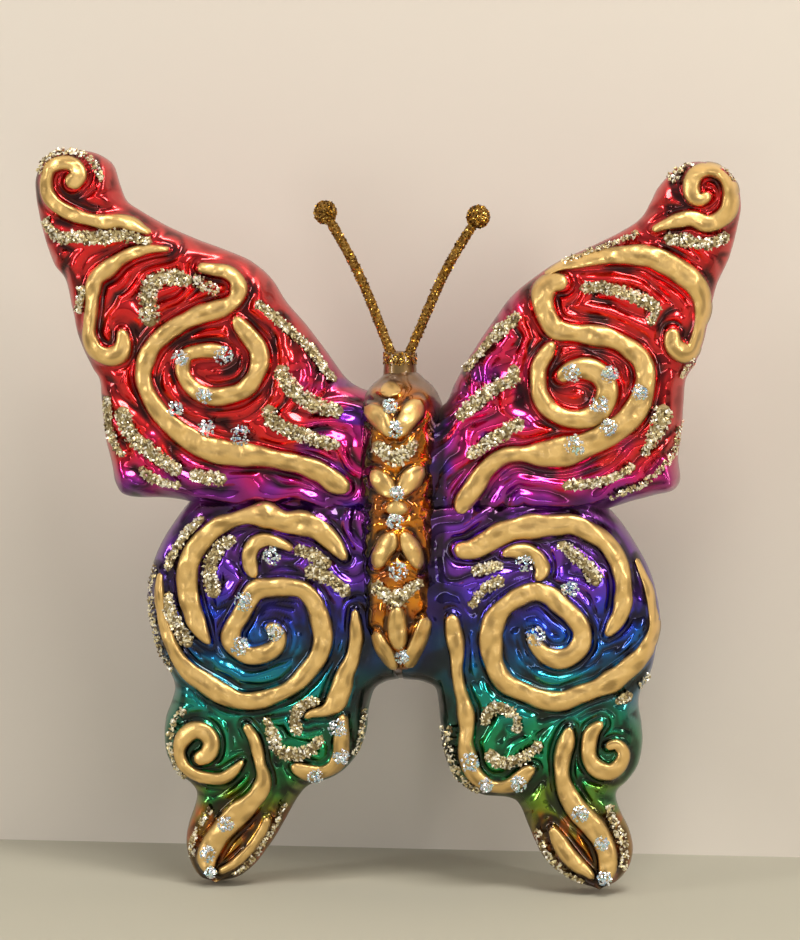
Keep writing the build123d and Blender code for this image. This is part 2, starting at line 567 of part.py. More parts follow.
def crystal(column, row, radius_pixels, surfaces):
    """A low round dot that sits on the foremost thing under it."""
    radius = radius_pixels * MM_PER_PX
    centre = front_at(surfaces, at(column, row), SIGHT)
    around = [centre + Vector(cos(turn), 0, sin(turn)) * radius * share
              for turn in [pi * step / 4 for step in range(8)] for share in (0.5, 1.0)]
    found = [front_at(surfaces, spot) for spot in [centre, *around]]
    depth = min(spot.Y for spot in found if spot) - GLUE_LINE
    foot = Vector(centre.X, depth, centre.Z)
    rise = min(CRYSTAL_RISE, radius)
    ball = (radius ** 2 + rise ** 2) / (2 * rise)
    middle = Plane(origin=foot - FORWARD * (ball - rise), z_dir=FORWARD)
    return Solid.make_sphere(ball, middle, degrees(asin((ball - rise) / ball)), 90)


def decorate(side, name, scrolls, strokes, dots, glass_faces):
    """Write the gold scrolls, the glitter strokes and the crystal dots of one wing or the body."""
    made = []
    for scroll, tracks in scrolls.items():
        bands = [band(track, GOLD_RISE, glass_faces) for track in tracks]
        write(f"{side}{scroll}", *bands)
        made += bands
    glitter = [band(track, GLITTER_RISE, glass_faces) for track in strokes]
    write(f"{side}{name}_glitter", *glitter)
    below = glass_faces + boxed(*made, *glitter)
    crystals = [crystal(*dot, below) for dot in dots]
    write(f"{side}{name}_crystals", *crystals)


def bent_path(points):
    """A path of straight runs with the largest arcs that its runs allow."""
    runs = [far - near for near, far in zip(points, points[1:])]
    radii = []
    for run, following in zip(runs, runs[1:]):
        turn = radians(run.get_angle(following))
        radii.append(BEND_SHARE * min(run.length, following.length) / tan(turn / 2))
    return FilletPolyline(*points, radius=radii)


def tube(path, radius, bore=0.0):
    """A round wire, or with a bore a sleeve, along a path."""
    start = Plane(origin=path @ 0, z_dir=path % 0)
    section = Circle(radius)
    if bore:
        section -= Circle(bore)
    return sweep(start * section, path=path).solid()


def antenna(side, sign, pixels):
    """One antenna: the wire in the plug, its glitter coat and the bead on its end."""
    top = at(STUB_COLUMN, STUB_TOP_ROW)
    foot = top + Vector(sign * WIRE_FOOT, 0, -PLUG_LENGTH - WIRE_RADIUS)
    knee = top + Vector(sign * WIRE_KNEE, 0, -KNEE_DEPTH)
    places = [foot, knee, *[at(*pixel) for pixel in pixels]]
    wire = tube(bent_path(places), WIRE_RADIUS)
    way = (places[-1] - places[-2]).normalized()
    first = places[2] - places[1]
    climb = (KNEE_DEPTH + COAT_LIFT) / first.Z
    meet = sqrt(BEAD_RADIUS ** 2 - WIRE_RADIUS ** 2) + WIRE_FIT
    coat_path = bent_path([places[1] + first * climb, places[2], places[-1] - way * meet])
    coat = tube(coat_path, COAT_RADIUS, WIRE_RADIUS + WIRE_FIT)
    socket_foot = places[-1] + way * (BEAD_SOCKET - BEAD_RADIUS)
    socket = rod(places[-1] - way * 2 * BEAD_RADIUS, socket_foot, WIRE_RADIUS + WIRE_FIT)
    bead = Solid.make_sphere(BEAD_RADIUS, Plane(origin=places[-1], z_dir=way)) - socket
    write(f"antenna_wire_{side}", wire)
    write(f"antenna_coat_{side}", coat)
    write(f"antenna_bead_{side}", bead.solid())
    return tube(bent_path(places), WIRE_RADIUS + WIRE_FIT)


def mitred(points, thickness):
    """The outer line of a bent strip whose inner line is given."""
    outer = []
    for index, point in enumerate(points):
        near = points[max(index - 1, 0)]
        far = points[min(index + 1, len(points) - 1)]
        before = (point - near if index else far - point).normalized()
        after = (far - point if index < len(points) - 1 else point - near).normalized()
        normal = Vector(-before.Y - after.Y, before.X + after.X).normalized()
        outer.append(point + normal * (thickness / normal.dot(Vector(-after.Y, after.X))))
    return outer


def leaf(side, spread, ear_edge):
    """One clip leaf: a pressed strip with a tab, a half-round grip channel and two ears."""
    jaw = GRIP_RADIUS + LIP_LENGTH
    upper = [
        Vector(LIP_GAP, 0),
        Vector(LIP_GAP, jaw),
        Vector(LEAF_GAP, JAW_DROP - TAB_BEND),
        Vector(LEAF_GAP, JAW_DROP + TAB_BEND),
        Vector(spread, JAW_DROP + TAB_RISE),
    ]
    lower = [
        Vector(LIP_GAP + TIP_FLARE, -jaw - TIP_FLARE),
        Vector(LIP_GAP, -jaw),
        Vector(LIP_GAP, 0),
    ]
    outline = Sketch()
    for line in (upper, lower):
        ends = line + mitred(line, -LEAF_THICKNESS)[::-1]
        outline += make_face(Polyline(*ends, close=True))
    channel = Circle(GRIP_RADIUS + LEAF_THICKNESS)
    channel &= Pos(LIP_GAP + jaw / 2, 0) * Rectangle(jaw, 2 * jaw)
    outline = outline + channel - Circle(GRIP_RADIUS)
    ear = Pos(0, JAW_DROP) * Circle(EAR_RADIUS)
    ear += Pos(LEAF_GAP / 2, JAW_DROP) * Rectangle(LEAF_GAP, 2 * EAR_RADIUS)
    ear += Pos(LEAF_GAP, JAW_DROP) * Rectangle(LEAF_THICKNESS, 2 * EAR_RADIUS)
    ear -= Pos(0, JAW_DROP) * Circle(PIN_RADIUS + PIN_FIT)
    plate = extrude(Plane.YZ * outline, LEAF_WIDTH / 2, both=True)
    cheek = extrude(Plane.YZ * ear, LEAF_THICKNESS)
    plate += Pos(ear_edge - LEAF_THICKNESS, 0, 0) * cheek
    plate += Pos(-ear_edge, 0, 0) * cheek
    return plate if side > 0 else mirror(plate, Plane.XZ)


def biarc(start, start_way, end, end_way):
    """Two arcs that join two places and share their directions."""
    chord = end - start
    ways = start_way + end_way
    a = 4 - ways.dot(ways)
    b = 2 * chord.dot(ways)
    reach = (sqrt(b * b + 4 * a * chord.dot(chord)) - b) / (2 * a)
    near = start + start_way * reach
    far = end - end_way * reach
    middle = (near + far) * 0.5
    way = (far - near).normalized()
    return [
        Edge.make_tangent_arc(start, start_way, middle),
        Edge.make_tangent_arc(middle, way, end),
    ]


def clip_spring():
    """The torsion spring: one wire with a straight leg to each leaf and coils round the pin."""
    lean = (TAB_SPREAD - LEAF_GAP) / (TAB_RISE - TAB_BEND)
    gap = LEAF_GAP - SPRING_WIRE - SPRING_LEG_FIT
    fixed_end = (-gap, SPRING_LEG)
    moving_end = (gap + (SPRING_LEG - TAB_BEND) * lean - SPRING_WIRE * lean, SPRING_LEG)
    start = atan2(fixed_end[1], fixed_end[0]) + acos(SPRING_RADIUS / hypot(*fixed_end))
    finish = atan2(moving_end[1], moving_end[0]) - acos(SPRING_RADIUS / hypot(*moving_end))
    finish += 2 * pi * (SPRING_FULL_TURNS + 1)
    steps = round((finish - start) / (pi / 2))
    length = SPRING_PITCH * (finish - start) / (2 * pi)
    places = []
    ways = []
    for step in range(steps + 1):
        turn = start + (finish - start) * step / steps
        x = length * (step / steps - 0.5)
        places.append(Vector(x, SPRING_RADIUS * cos(turn), JAW_DROP + SPRING_RADIUS * sin(turn)))
        slope = SPRING_PITCH / (2 * pi * SPRING_RADIUS) if 0 < step < steps else 0.0
        ways.append(Vector(slope, -sin(turn), cos(turn)).normalized())
    first = Vector(places[0].X, fixed_end[0], JAW_DROP + fixed_end[1])
    last = Vector(places[-1].X, moving_end[0], JAW_DROP + moving_end[1])
    edges = [Edge.make_line(first, places[0])]
    for step in range(steps):
        edges += biarc(places[step], ways[step], places[step + 1], ways[step + 1])
    edges.append(Edge.make_line(places[-1], last))
    path = Wire(edges)
    print("spring's least gap to itself", round(self_gap(path), 2), "mm")
    return tube(path, SPRING_WIRE)


def self_gap(path):
    """The least gap between the surfaces of two stretches of the spring's wire."""
    count = round(path.length / SPRING_WIRE)
    spots = [path.position_at(step / count) for step in range(count + 1)]
    apart = round(pi * SPRING_RADIUS / SPRING_WIRE)
    gaps = [(spots[j] - spots[i]).length for i in range(count + 1)
            for j in range(i + apart, count + 1)]
    return min(gaps) - 2 * SPRING_WIRE


def staple():
    """The wire that ties the clip and the ferrule to the pike and presses out inside it."""
    bridge = STAPLE_WIRE + STAPLE_FIT - LEAF_GAP
    inside = -FERRULE_FRONT - STAPLE_STRAIGHT
    arm = [
        Vector(0, inside - STAPLE_LEG, STAPLE_SPLAY),
        Vector(0, inside, STAPLE_HALF),
        Vector(0, bridge, STAPLE_HALF),
    ]
    turned = [Vector(0, place.Y, -place.Z) for place in reversed(arm)]
    lift = Vector(0, 0, PIKE_HEIGHT)
    return tube(FilletPolyline(*[place + lift for place in arm + turned], radius=STAPLE_BEND),
                STAPLE_WIRE)


def staple_holes():
    """The two holes that the staple passes through."""
    holes = []
    for side in (-1, 1):
        centre = Vector(0, 0, PIKE_HEIGHT + side * STAPLE_HALF)
        holes.append(rod(centre + FORWARD * (FERRULE_FRONT + STAPLE_STRAIGHT / 2), centre,
                         STAPLE_WIRE + STAPLE_FIT))
    return holes


def ferrule():
    """The metal cap over the pike."""
    face = Vector(0, -LEAF_FRONT, PIKE_HEIGHT)
    bore = PIKE_RADIUS + FERRULE_FIT
    cap = rod(face, face + FORWARD * FERRULE_LENGTH, bore + FERRULE_WALL)
    cap -= rod(face + FORWARD * FERRULE_WALL, face + FORWARD * 2 * FERRULE_LENGTH, bore)
    for hole in staple_holes():
        cap -= hole
    return cap.solid()


def hinge_pin():
    """The headed pin through the four ears."""
    half = LEAF_WIDTH / 2 + PIN_FIT
    axis = Vector(0, 0, JAW_DROP)
    along = Vector(1, 0, 0)
    pin = rod(axis - along * half, axis + along * half, PIN_RADIUS)
    for side in (-1, 1):
        pin += rod(axis + along * side * half, axis + along * side * (half + PIN_HEAD),
                   PIN_HEAD_RADIUS)
    return pin.solid()


os.makedirs("parts", exist_ok=True)

outer = glass_skin()
glass = outer - glass_skin(GLASS_WALL)
write("glass_shell", glass.solid())

plug_top = at(STUB_COLUMN, STUB_TOP_ROW)
plug = rod(plug_top - Vector(0, 0, PLUG_LENGTH), plug_top, STUB_BORE - PLUG_FIT)
for wire_hole in (antenna("left", -1, LEFT_ANTENNA), antenna("right", 1, RIGHT_ANTENNA)):
    plug -= wire_hole
write("neck_plug", plug.solid())

faces = boxed(outer)
decorate("left_forewing_", "surface", {
    "tip_scroll": LEFT_FOREWING_TIP_SCROLL,
    "edge_scroll": LEFT_FOREWING_EDGE_SCROLL,
    "main_scroll": LEFT_FOREWING_MAIN_SCROLL,
}, LEFT_FOREWING_GLITTER, LEFT_FOREWING_CRYSTALS, faces)
decorate("left_hindwing_", "surface", {
    "arc": LEFT_HINDWING_ARC,
    "spiral": LEFT_HINDWING_SPIRAL,
    "stem": LEFT_HINDWING_STEM,
    "small_spiral": LEFT_HINDWING_SMALL_SPIRAL,
    "tail_leaf": LEFT_TAIL_LEAF,
}, LEFT_HINDWING_GLITTER, LEFT_HINDWING_CRYSTALS, faces)
decorate("right_forewing_", "surface", {
    "tip_scroll": RIGHT_FOREWING_TIP_SCROLL,
    "edge_scroll": RIGHT_FOREWING_EDGE_SCROLL,
    "main_scroll": RIGHT_FOREWING_MAIN_SCROLL,
}, RIGHT_FOREWING_GLITTER, RIGHT_FOREWING_CRYSTALS, faces)
decorate("right_hindwing_", "surface", {
    "arc": RIGHT_HINDWING_ARC,
    "spiral": RIGHT_HINDWING_SPIRAL,
    "stem": RIGHT_HINDWING_STEM,
    "small_spiral": RIGHT_HINDWING_SMALL_SPIRAL,
    "tail_leaf": RIGHT_TAIL_LEAF,
}, RIGHT_HINDWING_GLITTER, RIGHT_HINDWING_CRYSTALS, faces)
decorate("body_", "surface", {
    "gold_petals": BODY_PETALS,
}, BODY_GLITTER, BODY_CRYSTALS, faces)

fixed_leaf = leaf(-1, LEAF_GAP, LEAF_WIDTH / 2)
for hole in staple_holes():
    fixed_leaf -= hole
write("clip_fixed_leaf", fixed_leaf.solid())
write("clip_moving_leaf", leaf(1, TAB_SPREAD, LEAF_WIDTH / 2 - LEAF_THICKNESS - EAR_FIT).solid())
write("clip_hinge_pin", hinge_pin())
write("clip_spring", clip_spring())
write("clip_ferrule", ferrule())
write("clip_staple", staple())
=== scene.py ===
# %% [markdown]
# # A silvered glass butterfly
#
# The real ornament is blown into a mould, silvered inside like a mirror and painted outside with
# clear lacquers. Satin gold scrolls, strokes of coarse glitter and dots of crystal glitter are
# laid on its front. A spring clip on its back holds it on a branch.
#
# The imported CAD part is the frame. Every piece below is set out on the same photo pixels as the
# solids, so the looks and the solids stay together.

# %% Tools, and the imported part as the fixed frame
import json
import math

import bmesh
import bpy
import numpy as np
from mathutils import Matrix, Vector
from mathutils.bvhtree import BVHTree

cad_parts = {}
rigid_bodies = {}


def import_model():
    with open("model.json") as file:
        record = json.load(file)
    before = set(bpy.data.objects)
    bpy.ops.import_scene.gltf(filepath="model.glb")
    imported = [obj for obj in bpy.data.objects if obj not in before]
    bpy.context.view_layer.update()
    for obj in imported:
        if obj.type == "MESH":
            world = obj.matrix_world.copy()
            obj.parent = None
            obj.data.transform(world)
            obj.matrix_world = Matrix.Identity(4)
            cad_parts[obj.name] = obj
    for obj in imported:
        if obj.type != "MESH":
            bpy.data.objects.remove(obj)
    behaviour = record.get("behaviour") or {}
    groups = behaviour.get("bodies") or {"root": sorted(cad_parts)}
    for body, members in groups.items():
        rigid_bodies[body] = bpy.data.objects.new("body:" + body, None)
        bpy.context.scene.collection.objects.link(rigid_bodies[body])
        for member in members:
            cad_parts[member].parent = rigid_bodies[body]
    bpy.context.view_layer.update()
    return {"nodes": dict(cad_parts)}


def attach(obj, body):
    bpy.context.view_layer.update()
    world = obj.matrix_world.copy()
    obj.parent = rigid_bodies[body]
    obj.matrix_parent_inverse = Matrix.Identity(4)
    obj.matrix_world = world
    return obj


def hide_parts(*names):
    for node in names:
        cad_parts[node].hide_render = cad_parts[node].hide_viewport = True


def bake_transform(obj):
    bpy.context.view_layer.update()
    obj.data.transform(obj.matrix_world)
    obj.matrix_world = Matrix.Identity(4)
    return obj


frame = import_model()

# %% [markdown]
# ## One frame for the photo and the part
#
# The wing span of 134 mm covers 705 pixels, so one pixel is 0.19 mm. The origin is the middle of
# the clip's branch groove. The wings' middle plane lies 20.3 mm in front of it. What lies further
# forward shows a little to the left and down, because the camera stands 7 degrees to the right and
# 5 above.

# %% From pixels to metres
SPAN = 0.134
SPAN_PIXELS = 705
PIXEL = SPAN / SPAN_PIXELS
MM = 0.001
AXIS_COLUMN = 402
GRIP_ROW = 560
MIDDLE_Y = -0.0203
AZIMUTH = math.radians(7.0)
ELEVATION = math.radians(5.0)
SIGHT = np.array([math.tan(AZIMUTH), -1.0, math.tan(ELEVATION)])


def plane_points(columns, rows):
    """Pixels to points on the wings' middle plane: x and z grow with the pixel size."""
    columns, rows = np.broadcast_arrays(np.asarray(columns, float), np.asarray(rows, float))
    x = (columns - AXIS_COLUMN) * PIXEL
    z = (GRIP_ROW - rows) * PIXEL
    return np.stack([x, np.full_like(x, MIDDLE_Y), z], axis=-1)


def seen_pixels(points):
    """Points to the pixels where the camera sees them: the way back along the line of sight."""
    ahead = MIDDLE_Y - points[..., 1]
    columns = AXIS_COLUMN + (points[..., 0] - ahead * SIGHT[0]) / PIXEL
    rows = GRIP_ROW - (points[..., 2] - ahead * SIGHT[2]) / PIXEL
    return columns, rows


# %% [markdown]
# ## What the maker laid where
#
# The outlines, scrolls, strokes and dots are lists of (column, row) or (column, row, width) in
# photo pixels, read once. All but the rim lines are shared with the solids.

# %% Outlines, scrolls, glitter strokes and crystal dots
# Wing outlines, from the root's first corner round the tip and back to the root
OUTLINES = {
    "left_forewing": (
        (397, 392), (380, 392), (362, 389), (345, 378), (325, 351), (305, 325), (285, 302),
        (270, 279), (250, 262), (225, 251), (195, 240), (165, 227), (140, 213), (124, 202),
        (117, 186), (111, 168), (102, 159), (88, 153), (68, 151), (50, 153), (40, 163), (33, 178),
        (32, 192), (35, 215), (41, 240), (50, 265), (62, 282), (69, 313), (76, 342), (88, 368),
        (96, 382), (98, 402), (102, 440), (108, 465), (112, 484), (120, 496), (135, 500),
        (160, 500), (185, 503), (205, 510), (250, 516), (320, 518), (397, 519),
    ),
    "right_forewing": (
        (407, 412), (430, 411), (446, 402), (455, 383), (466, 363), (478, 343), (495, 318),
        (512, 295), (535, 276), (558, 261), (590, 246), (622, 230), (640, 217), (650, 200),
        (656, 188), (669, 174), (688, 163), (707, 163), (722, 168), (733, 181), (738, 203),
        (735, 225), (727, 256), (715, 283), (708, 312), (702, 340), (694, 361), (685, 377),
        (683, 400), (681, 430), (678, 455), (680, 476), (673, 487), (655, 492), (630, 499),
        (612, 505), (590, 511), (540, 516), (470, 518), (407, 519),
    ),
    "left_hindwing": (
        (399, 492), (330, 492), (270, 491), (225, 492), (203, 494), (188, 503), (175, 519),
        (160, 542), (150, 565), (145, 590), (146, 617), (149, 640), (156, 660), (167, 678),
        (171, 690), (169, 703), (162, 722), (160, 742), (163, 762), (174, 780), (187, 790),
        (193, 800), (190, 815), (184, 833), (182, 852), (187, 872), (198, 886), (215, 889),
        (235, 885), (252, 872), (270, 848), (283, 826), (296, 803), (308, 790), (330, 782),
        (345, 772), (358, 755), (366, 733), (368, 712), (374, 692), (386, 683), (399, 680),
    ),
    "right_hindwing": (
        (405, 492), (470, 492), (530, 491), (572, 492), (594, 494), (608, 505), (622, 520),
        (637, 543), (649, 565), (657, 590), (661, 620), (657, 645), (652, 668), (642, 688),
        (640, 702), (643, 722), (644, 740), (640, 762), (630, 778), (620, 788), (618, 797),
        (623, 812), (631, 828), (635, 848), (631, 866), (620, 880), (603, 888), (580, 882),
        (556, 869), (542, 852), (530, 826), (521, 805), (510, 798), (485, 796), (466, 788),
        (452, 772), (444, 750), (441, 722), (439, 702), (436, 688), (424, 682), (405, 680),
    ),
}
TIPS = {
    "left_forewing": (43, 159),
    "right_forewing": (725, 170),
    "left_hindwing": (216, 889),
    "right_hindwing": (603, 889),
}

# Body sections: (row, half width in pixels, share of the front depth, share of the back depth)
BODY_SECTIONS = (
    (372, 15, 0.22, 0.30), (378, 22, 0.36, 0.42), (386, 31, 0.60, 0.62),
    (396, 37, 0.84, 0.82), (412, 42, 0.98, 0.95), (440, 43, 1.00, 1.00),
    (500, 43, 1.00, 1.00), (560, 42, 0.98, 1.00), (610, 39, 0.93, 0.95),
    (640, 34, 0.82, 0.85), (660, 25, 0.62, 0.65), (671, 15, 0.38, 0.40),
)

# Gold: (column, row, width in pixels) along each strip, under the name of its node
GOLD = {
    "left_forewing_tip_scroll": (
        ((71, 186, 18), (78, 178, 17), (72, 168, 14), (60, 166, 13), (49, 171, 13), (45, 182, 11),
         (45, 194, 12), (50, 204, 14), (60, 212, 14), (75, 219, 13), (90, 223, 11),
         (105, 225, 14), (120, 224, 14), (132, 227, 14), (142, 232, 8), (150, 235, 3)),
    ),
    "left_forewing_edge_scroll": (
        ((168, 252, 3), (150, 252, 8), (133, 256, 11), (119, 263, 13), (107, 272, 17),
         (95, 281, 16), (91, 295, 14), (90, 310, 13), (88, 325, 12), (87, 340, 14), (93, 353, 17),
         (105, 359, 17), (117, 357, 19), (122, 347, 15), (121, 335, 10)),
    ),
    "left_forewing_main_scroll": (
        ((200, 270, 9), (212, 272, 12), (226, 274, 13), (236, 281, 14), (239, 291, 16),
         (236, 301, 14), (228, 308, 16), (215, 313, 18), (200, 317, 18), (183, 325, 17),
         (167, 335, 17), (153, 348, 17), (145, 363, 17), (142, 380, 16), (147, 396, 16),
         (155, 410, 17), (167, 424, 19), (183, 437, 22), (202, 448, 24), (222, 454, 24),
         (243, 456, 24), (262, 458, 20), (282, 462, 18), (302, 466, 19), (320, 473, 21),
         (335, 483, 21), (345, 488, 16)),
        ((236, 321, 8), (241, 328, 14), (249, 338, 17), (258, 350, 19), (260, 364, 19),
         (255, 379, 17), (245, 391, 17), (230, 397, 17), (213, 399, 17), (198, 394, 17),
         (187, 384, 14), (182, 371, 14), (186, 358, 13), (198, 354, 13), (212, 353, 14),
         (222, 354, 12)),
    ),
    "left_hindwing_arc": (
        ((345, 558, 8), (335, 545, 16), (320, 531, 22), (303, 524, 24), (285, 523, 22),
         (267, 517, 24), (250, 517, 19), (232, 522, 14), (216, 529, 17), (202, 542, 20),
         (191, 557, 21), (186, 574, 22), (186, 592, 21), (190, 611, 21), (196, 627, 18),
         (202, 638, 12), (208, 646, 4)),
    ),
    "left_hindwing_spiral": (
        ((158, 577, 4), (157, 592, 8), (158, 610, 9), (162, 628, 11), (168, 646, 13),
         (176, 662, 15), (188, 676, 18), (203, 686, 20), (218, 695, 22), (237, 703, 18),
         (256, 703, 17), (275, 697, 16), (292, 688, 15), (306, 674, 17), (318, 658, 18),
         (323, 640, 20), (320, 620, 19), (314, 603, 18), (303, 591, 18), (287, 588, 18),
         (270, 589, 18), (255, 592, 20), (247, 604, 18), (240, 617, 19), (232, 630, 18),
         (230, 643, 20), (238, 653, 17), (251, 658, 18), (265, 655, 17), (276, 648, 15),
         (279, 638, 13), (274, 630, 12), (267, 629, 8)),
        ((292, 550, 5), (280, 544, 10), (267, 541, 12), (255, 545, 14), (249, 556, 15),
         (250, 568, 15), (254, 577, 8)),
    ),
    "left_hindwing_stem": (
        ((355, 611, 6), (356, 625, 11), (356, 643, 13), (352, 660, 14), (345, 675, 18),
         (341, 690, 22), (335, 704, 20), (325, 712, 12), (312, 715, 7), (305, 719, 4)),
        ((343, 718, 9), (342, 728, 12), (341, 742, 15), (340, 757, 16), (334, 769, 15),
         (322, 775, 13), (309, 776, 16), (298, 772, 13), (292, 769, 7)),
    ),
    "left_hindwing_small_spiral": (
        ((196, 764, 14), (206, 758, 17), (209, 746, 16), (202, 736, 18), (190, 735, 18),
         (180, 744, 16), (176, 757, 11), (180, 770, 11), (190, 779, 11), (205, 783, 11),
         (220, 783, 12), (232, 775, 10), (241, 765, 3)),
    ),
    "left_hindwing_tail_leaf": (
        ((245, 729, 7), (252, 741, 10), (256, 754, 11), (259, 768, 10), (262, 781, 13),
         (259, 794, 18), (250, 806, 20), (235, 820, 24), (220, 836, 22), (210, 850, 22),
         (204, 864, 20), (205, 876, 12)),
        ((218, 878, 6), (229, 872, 7), (241, 862, 8), (252, 850, 8), (261, 836, 8),
         (266, 824, 6)),
    ),
    "right_forewing_tip_scroll": (
        ((703, 198, 10), (696, 202, 11), (689, 198, 14), (687, 187, 16), (692, 176, 16),
         (704, 171, 15), (717, 175, 15), (725, 185, 17), (727, 199, 17), (724, 212, 17),
         (715, 221, 16), (702, 225, 15), (688, 220, 15), (674, 222, 14), (662, 226, 9),
         (650, 231, 5)),
    ),
    "right_forewing_edge_scroll": (
        ((545, 274, 4), (560, 266, 9), (580, 261, 14), (602, 257, 16), (625, 256, 19),
         (645, 257, 20), (662, 264, 23), (678, 273, 23), (691, 284, 22), (699, 298, 18),
         (700, 312, 16), (697, 326, 12), (694, 339, 12), (689, 350, 15), (678, 351, 18),
         (670, 343, 16), (669, 332, 13)),
    ),
    "right_forewing_main_scroll": (
        ((560, 283, 18), (549, 284, 20), (542, 293, 22), (542, 306, 22), (547, 320, 20),
         (556, 330, 20), (573, 333, 17), (590, 335, 20), (608, 338, 18), (624, 346, 18),
         (638, 358, 20), (643, 373, 20), (641, 390, 21), (635, 406, 23), (624, 420, 24),
         (609, 431, 25), (592, 440, 24), (575, 447, 28), (557, 451, 30), (540, 453, 24),
         (523, 453, 15), (508, 454, 14), (494, 461, 17), (483, 472, 18), (474, 486, 20),
         (465, 499, 20), (460, 508, 14)),
        ((551, 344, 8), (546, 352, 14), (538, 366, 15), (537, 380, 15), (539, 395, 16),
         (548, 408, 17), (562, 416, 18), (580, 418, 18), (595, 412, 20), (603, 400, 22),
         (605, 386, 22), (598, 374, 22), (585, 368, 22), (571, 369, 19), (560, 376, 14)),
    ),
    "right_hindwing_arc": (
        ((459, 549, 16), (472, 548, 20), (487, 540, 22), (503, 531, 22), (520, 526, 22),
         (537, 524, 24), (555, 523, 20), (572, 522, 19), (588, 529, 19), (602, 537, 18),
         (612, 549, 18), (619, 564, 17), (622, 580, 17), (622, 597, 18), (619, 611, 17),
         (612, 623, 13), (606, 631, 6)),
    ),
    "right_hindwing_spiral": (
        ((636, 556, 3), (642, 570, 6), (649, 587, 8), (652, 605, 9), (655, 622, 11),
         (650, 638, 15), (641, 652, 18), (627, 665, 20), (612, 677, 22), (596, 685, 17),
         (580, 691, 18), (562, 698, 20), (543, 697, 19), (525, 690, 18), (507, 682, 20),
         (497, 669, 20), (492, 652, 22), (491, 634, 23), (495, 617, 22), (505, 604, 19),
         (520, 594, 18), (535, 589, 18), (549, 593, 19), (561, 603, 19), (573, 614, 19),
         (581, 627, 18), (580, 641, 20), (571, 652, 19), (558, 656, 20), (545, 652, 17),
         (536, 643, 14), (531, 634, 10)),
        ((503, 552, 6), (514, 549, 12), (526, 549, 14), (537, 556, 14), (542, 567, 14),
         (537, 576, 8)),
    ),
    "right_hindwing_stem": (
        ((452, 617, 13), (454, 632, 16), (457, 650, 14), (457, 667, 11), (459, 683, 11),
         (463, 698, 12), (466, 712, 16), (467, 727, 15), (466, 742, 14), (468, 756, 18),
         (472, 769, 16), (481, 780, 15), (495, 786, 12), (509, 785, 14), (520, 778, 16),
         (528, 770, 12), (533, 767, 8)),
    ),
    "right_hindwing_small_spiral": (
        ((601, 720, 7), (592, 729, 13), (589, 742, 14), (590, 756, 15), (598, 766, 17),
         (610, 769, 16), (620, 762, 14), (624, 750, 12), (617, 741, 10), (608, 743, 8)),
    ),
    "right_hindwing_tail_leaf": (
        ((569, 727, 9), (567, 737, 15), (563, 752, 16), (562, 767, 14), (564, 781, 16),
         (570, 795, 20), (579, 809, 22), (592, 822, 22), (602, 836, 20), (608, 851, 20),
         (609, 865, 18), (606, 877, 12)),
        ((553, 828, 8), (560, 840, 14), (567, 851, 16), (578, 863, 14), (588, 870, 9),
         (594, 876, 4)),
    ),
    "body_gold_petals": (
        ((383, 392, 8), (390, 390, 13), (398, 391, 8)),
        ((368, 410, 12), (378, 417, 17), (387, 428, 13), (391, 436, 5)),
        ((417, 405, 15), (410, 416, 19), (403, 427, 13), (400, 436, 5)),
        ((374, 473, 10), (381, 481, 18), (389, 490, 14), (393, 496, 5)),
        ((421, 470, 11), (412, 478, 18), (405, 487, 14), (401, 495, 5)),
        ((389, 508, 8), (397, 508, 16), (405, 508, 8)),
        ((393, 533, 7), (388, 542, 16), (381, 554, 16), (377, 564, 10)),
        ((404, 533, 7), (409, 543, 15), (415, 555, 14), (419, 565, 8)),
        ((397, 608, 12), (397, 626, 16), (399, 645, 11)),
        ((376, 633, 8), (382, 646, 12), (389, 658, 11), (395, 668, 5)),
        ((426, 619, 9), (420, 637, 13), (413, 653, 12), (408, 665, 8)),
    ),
}

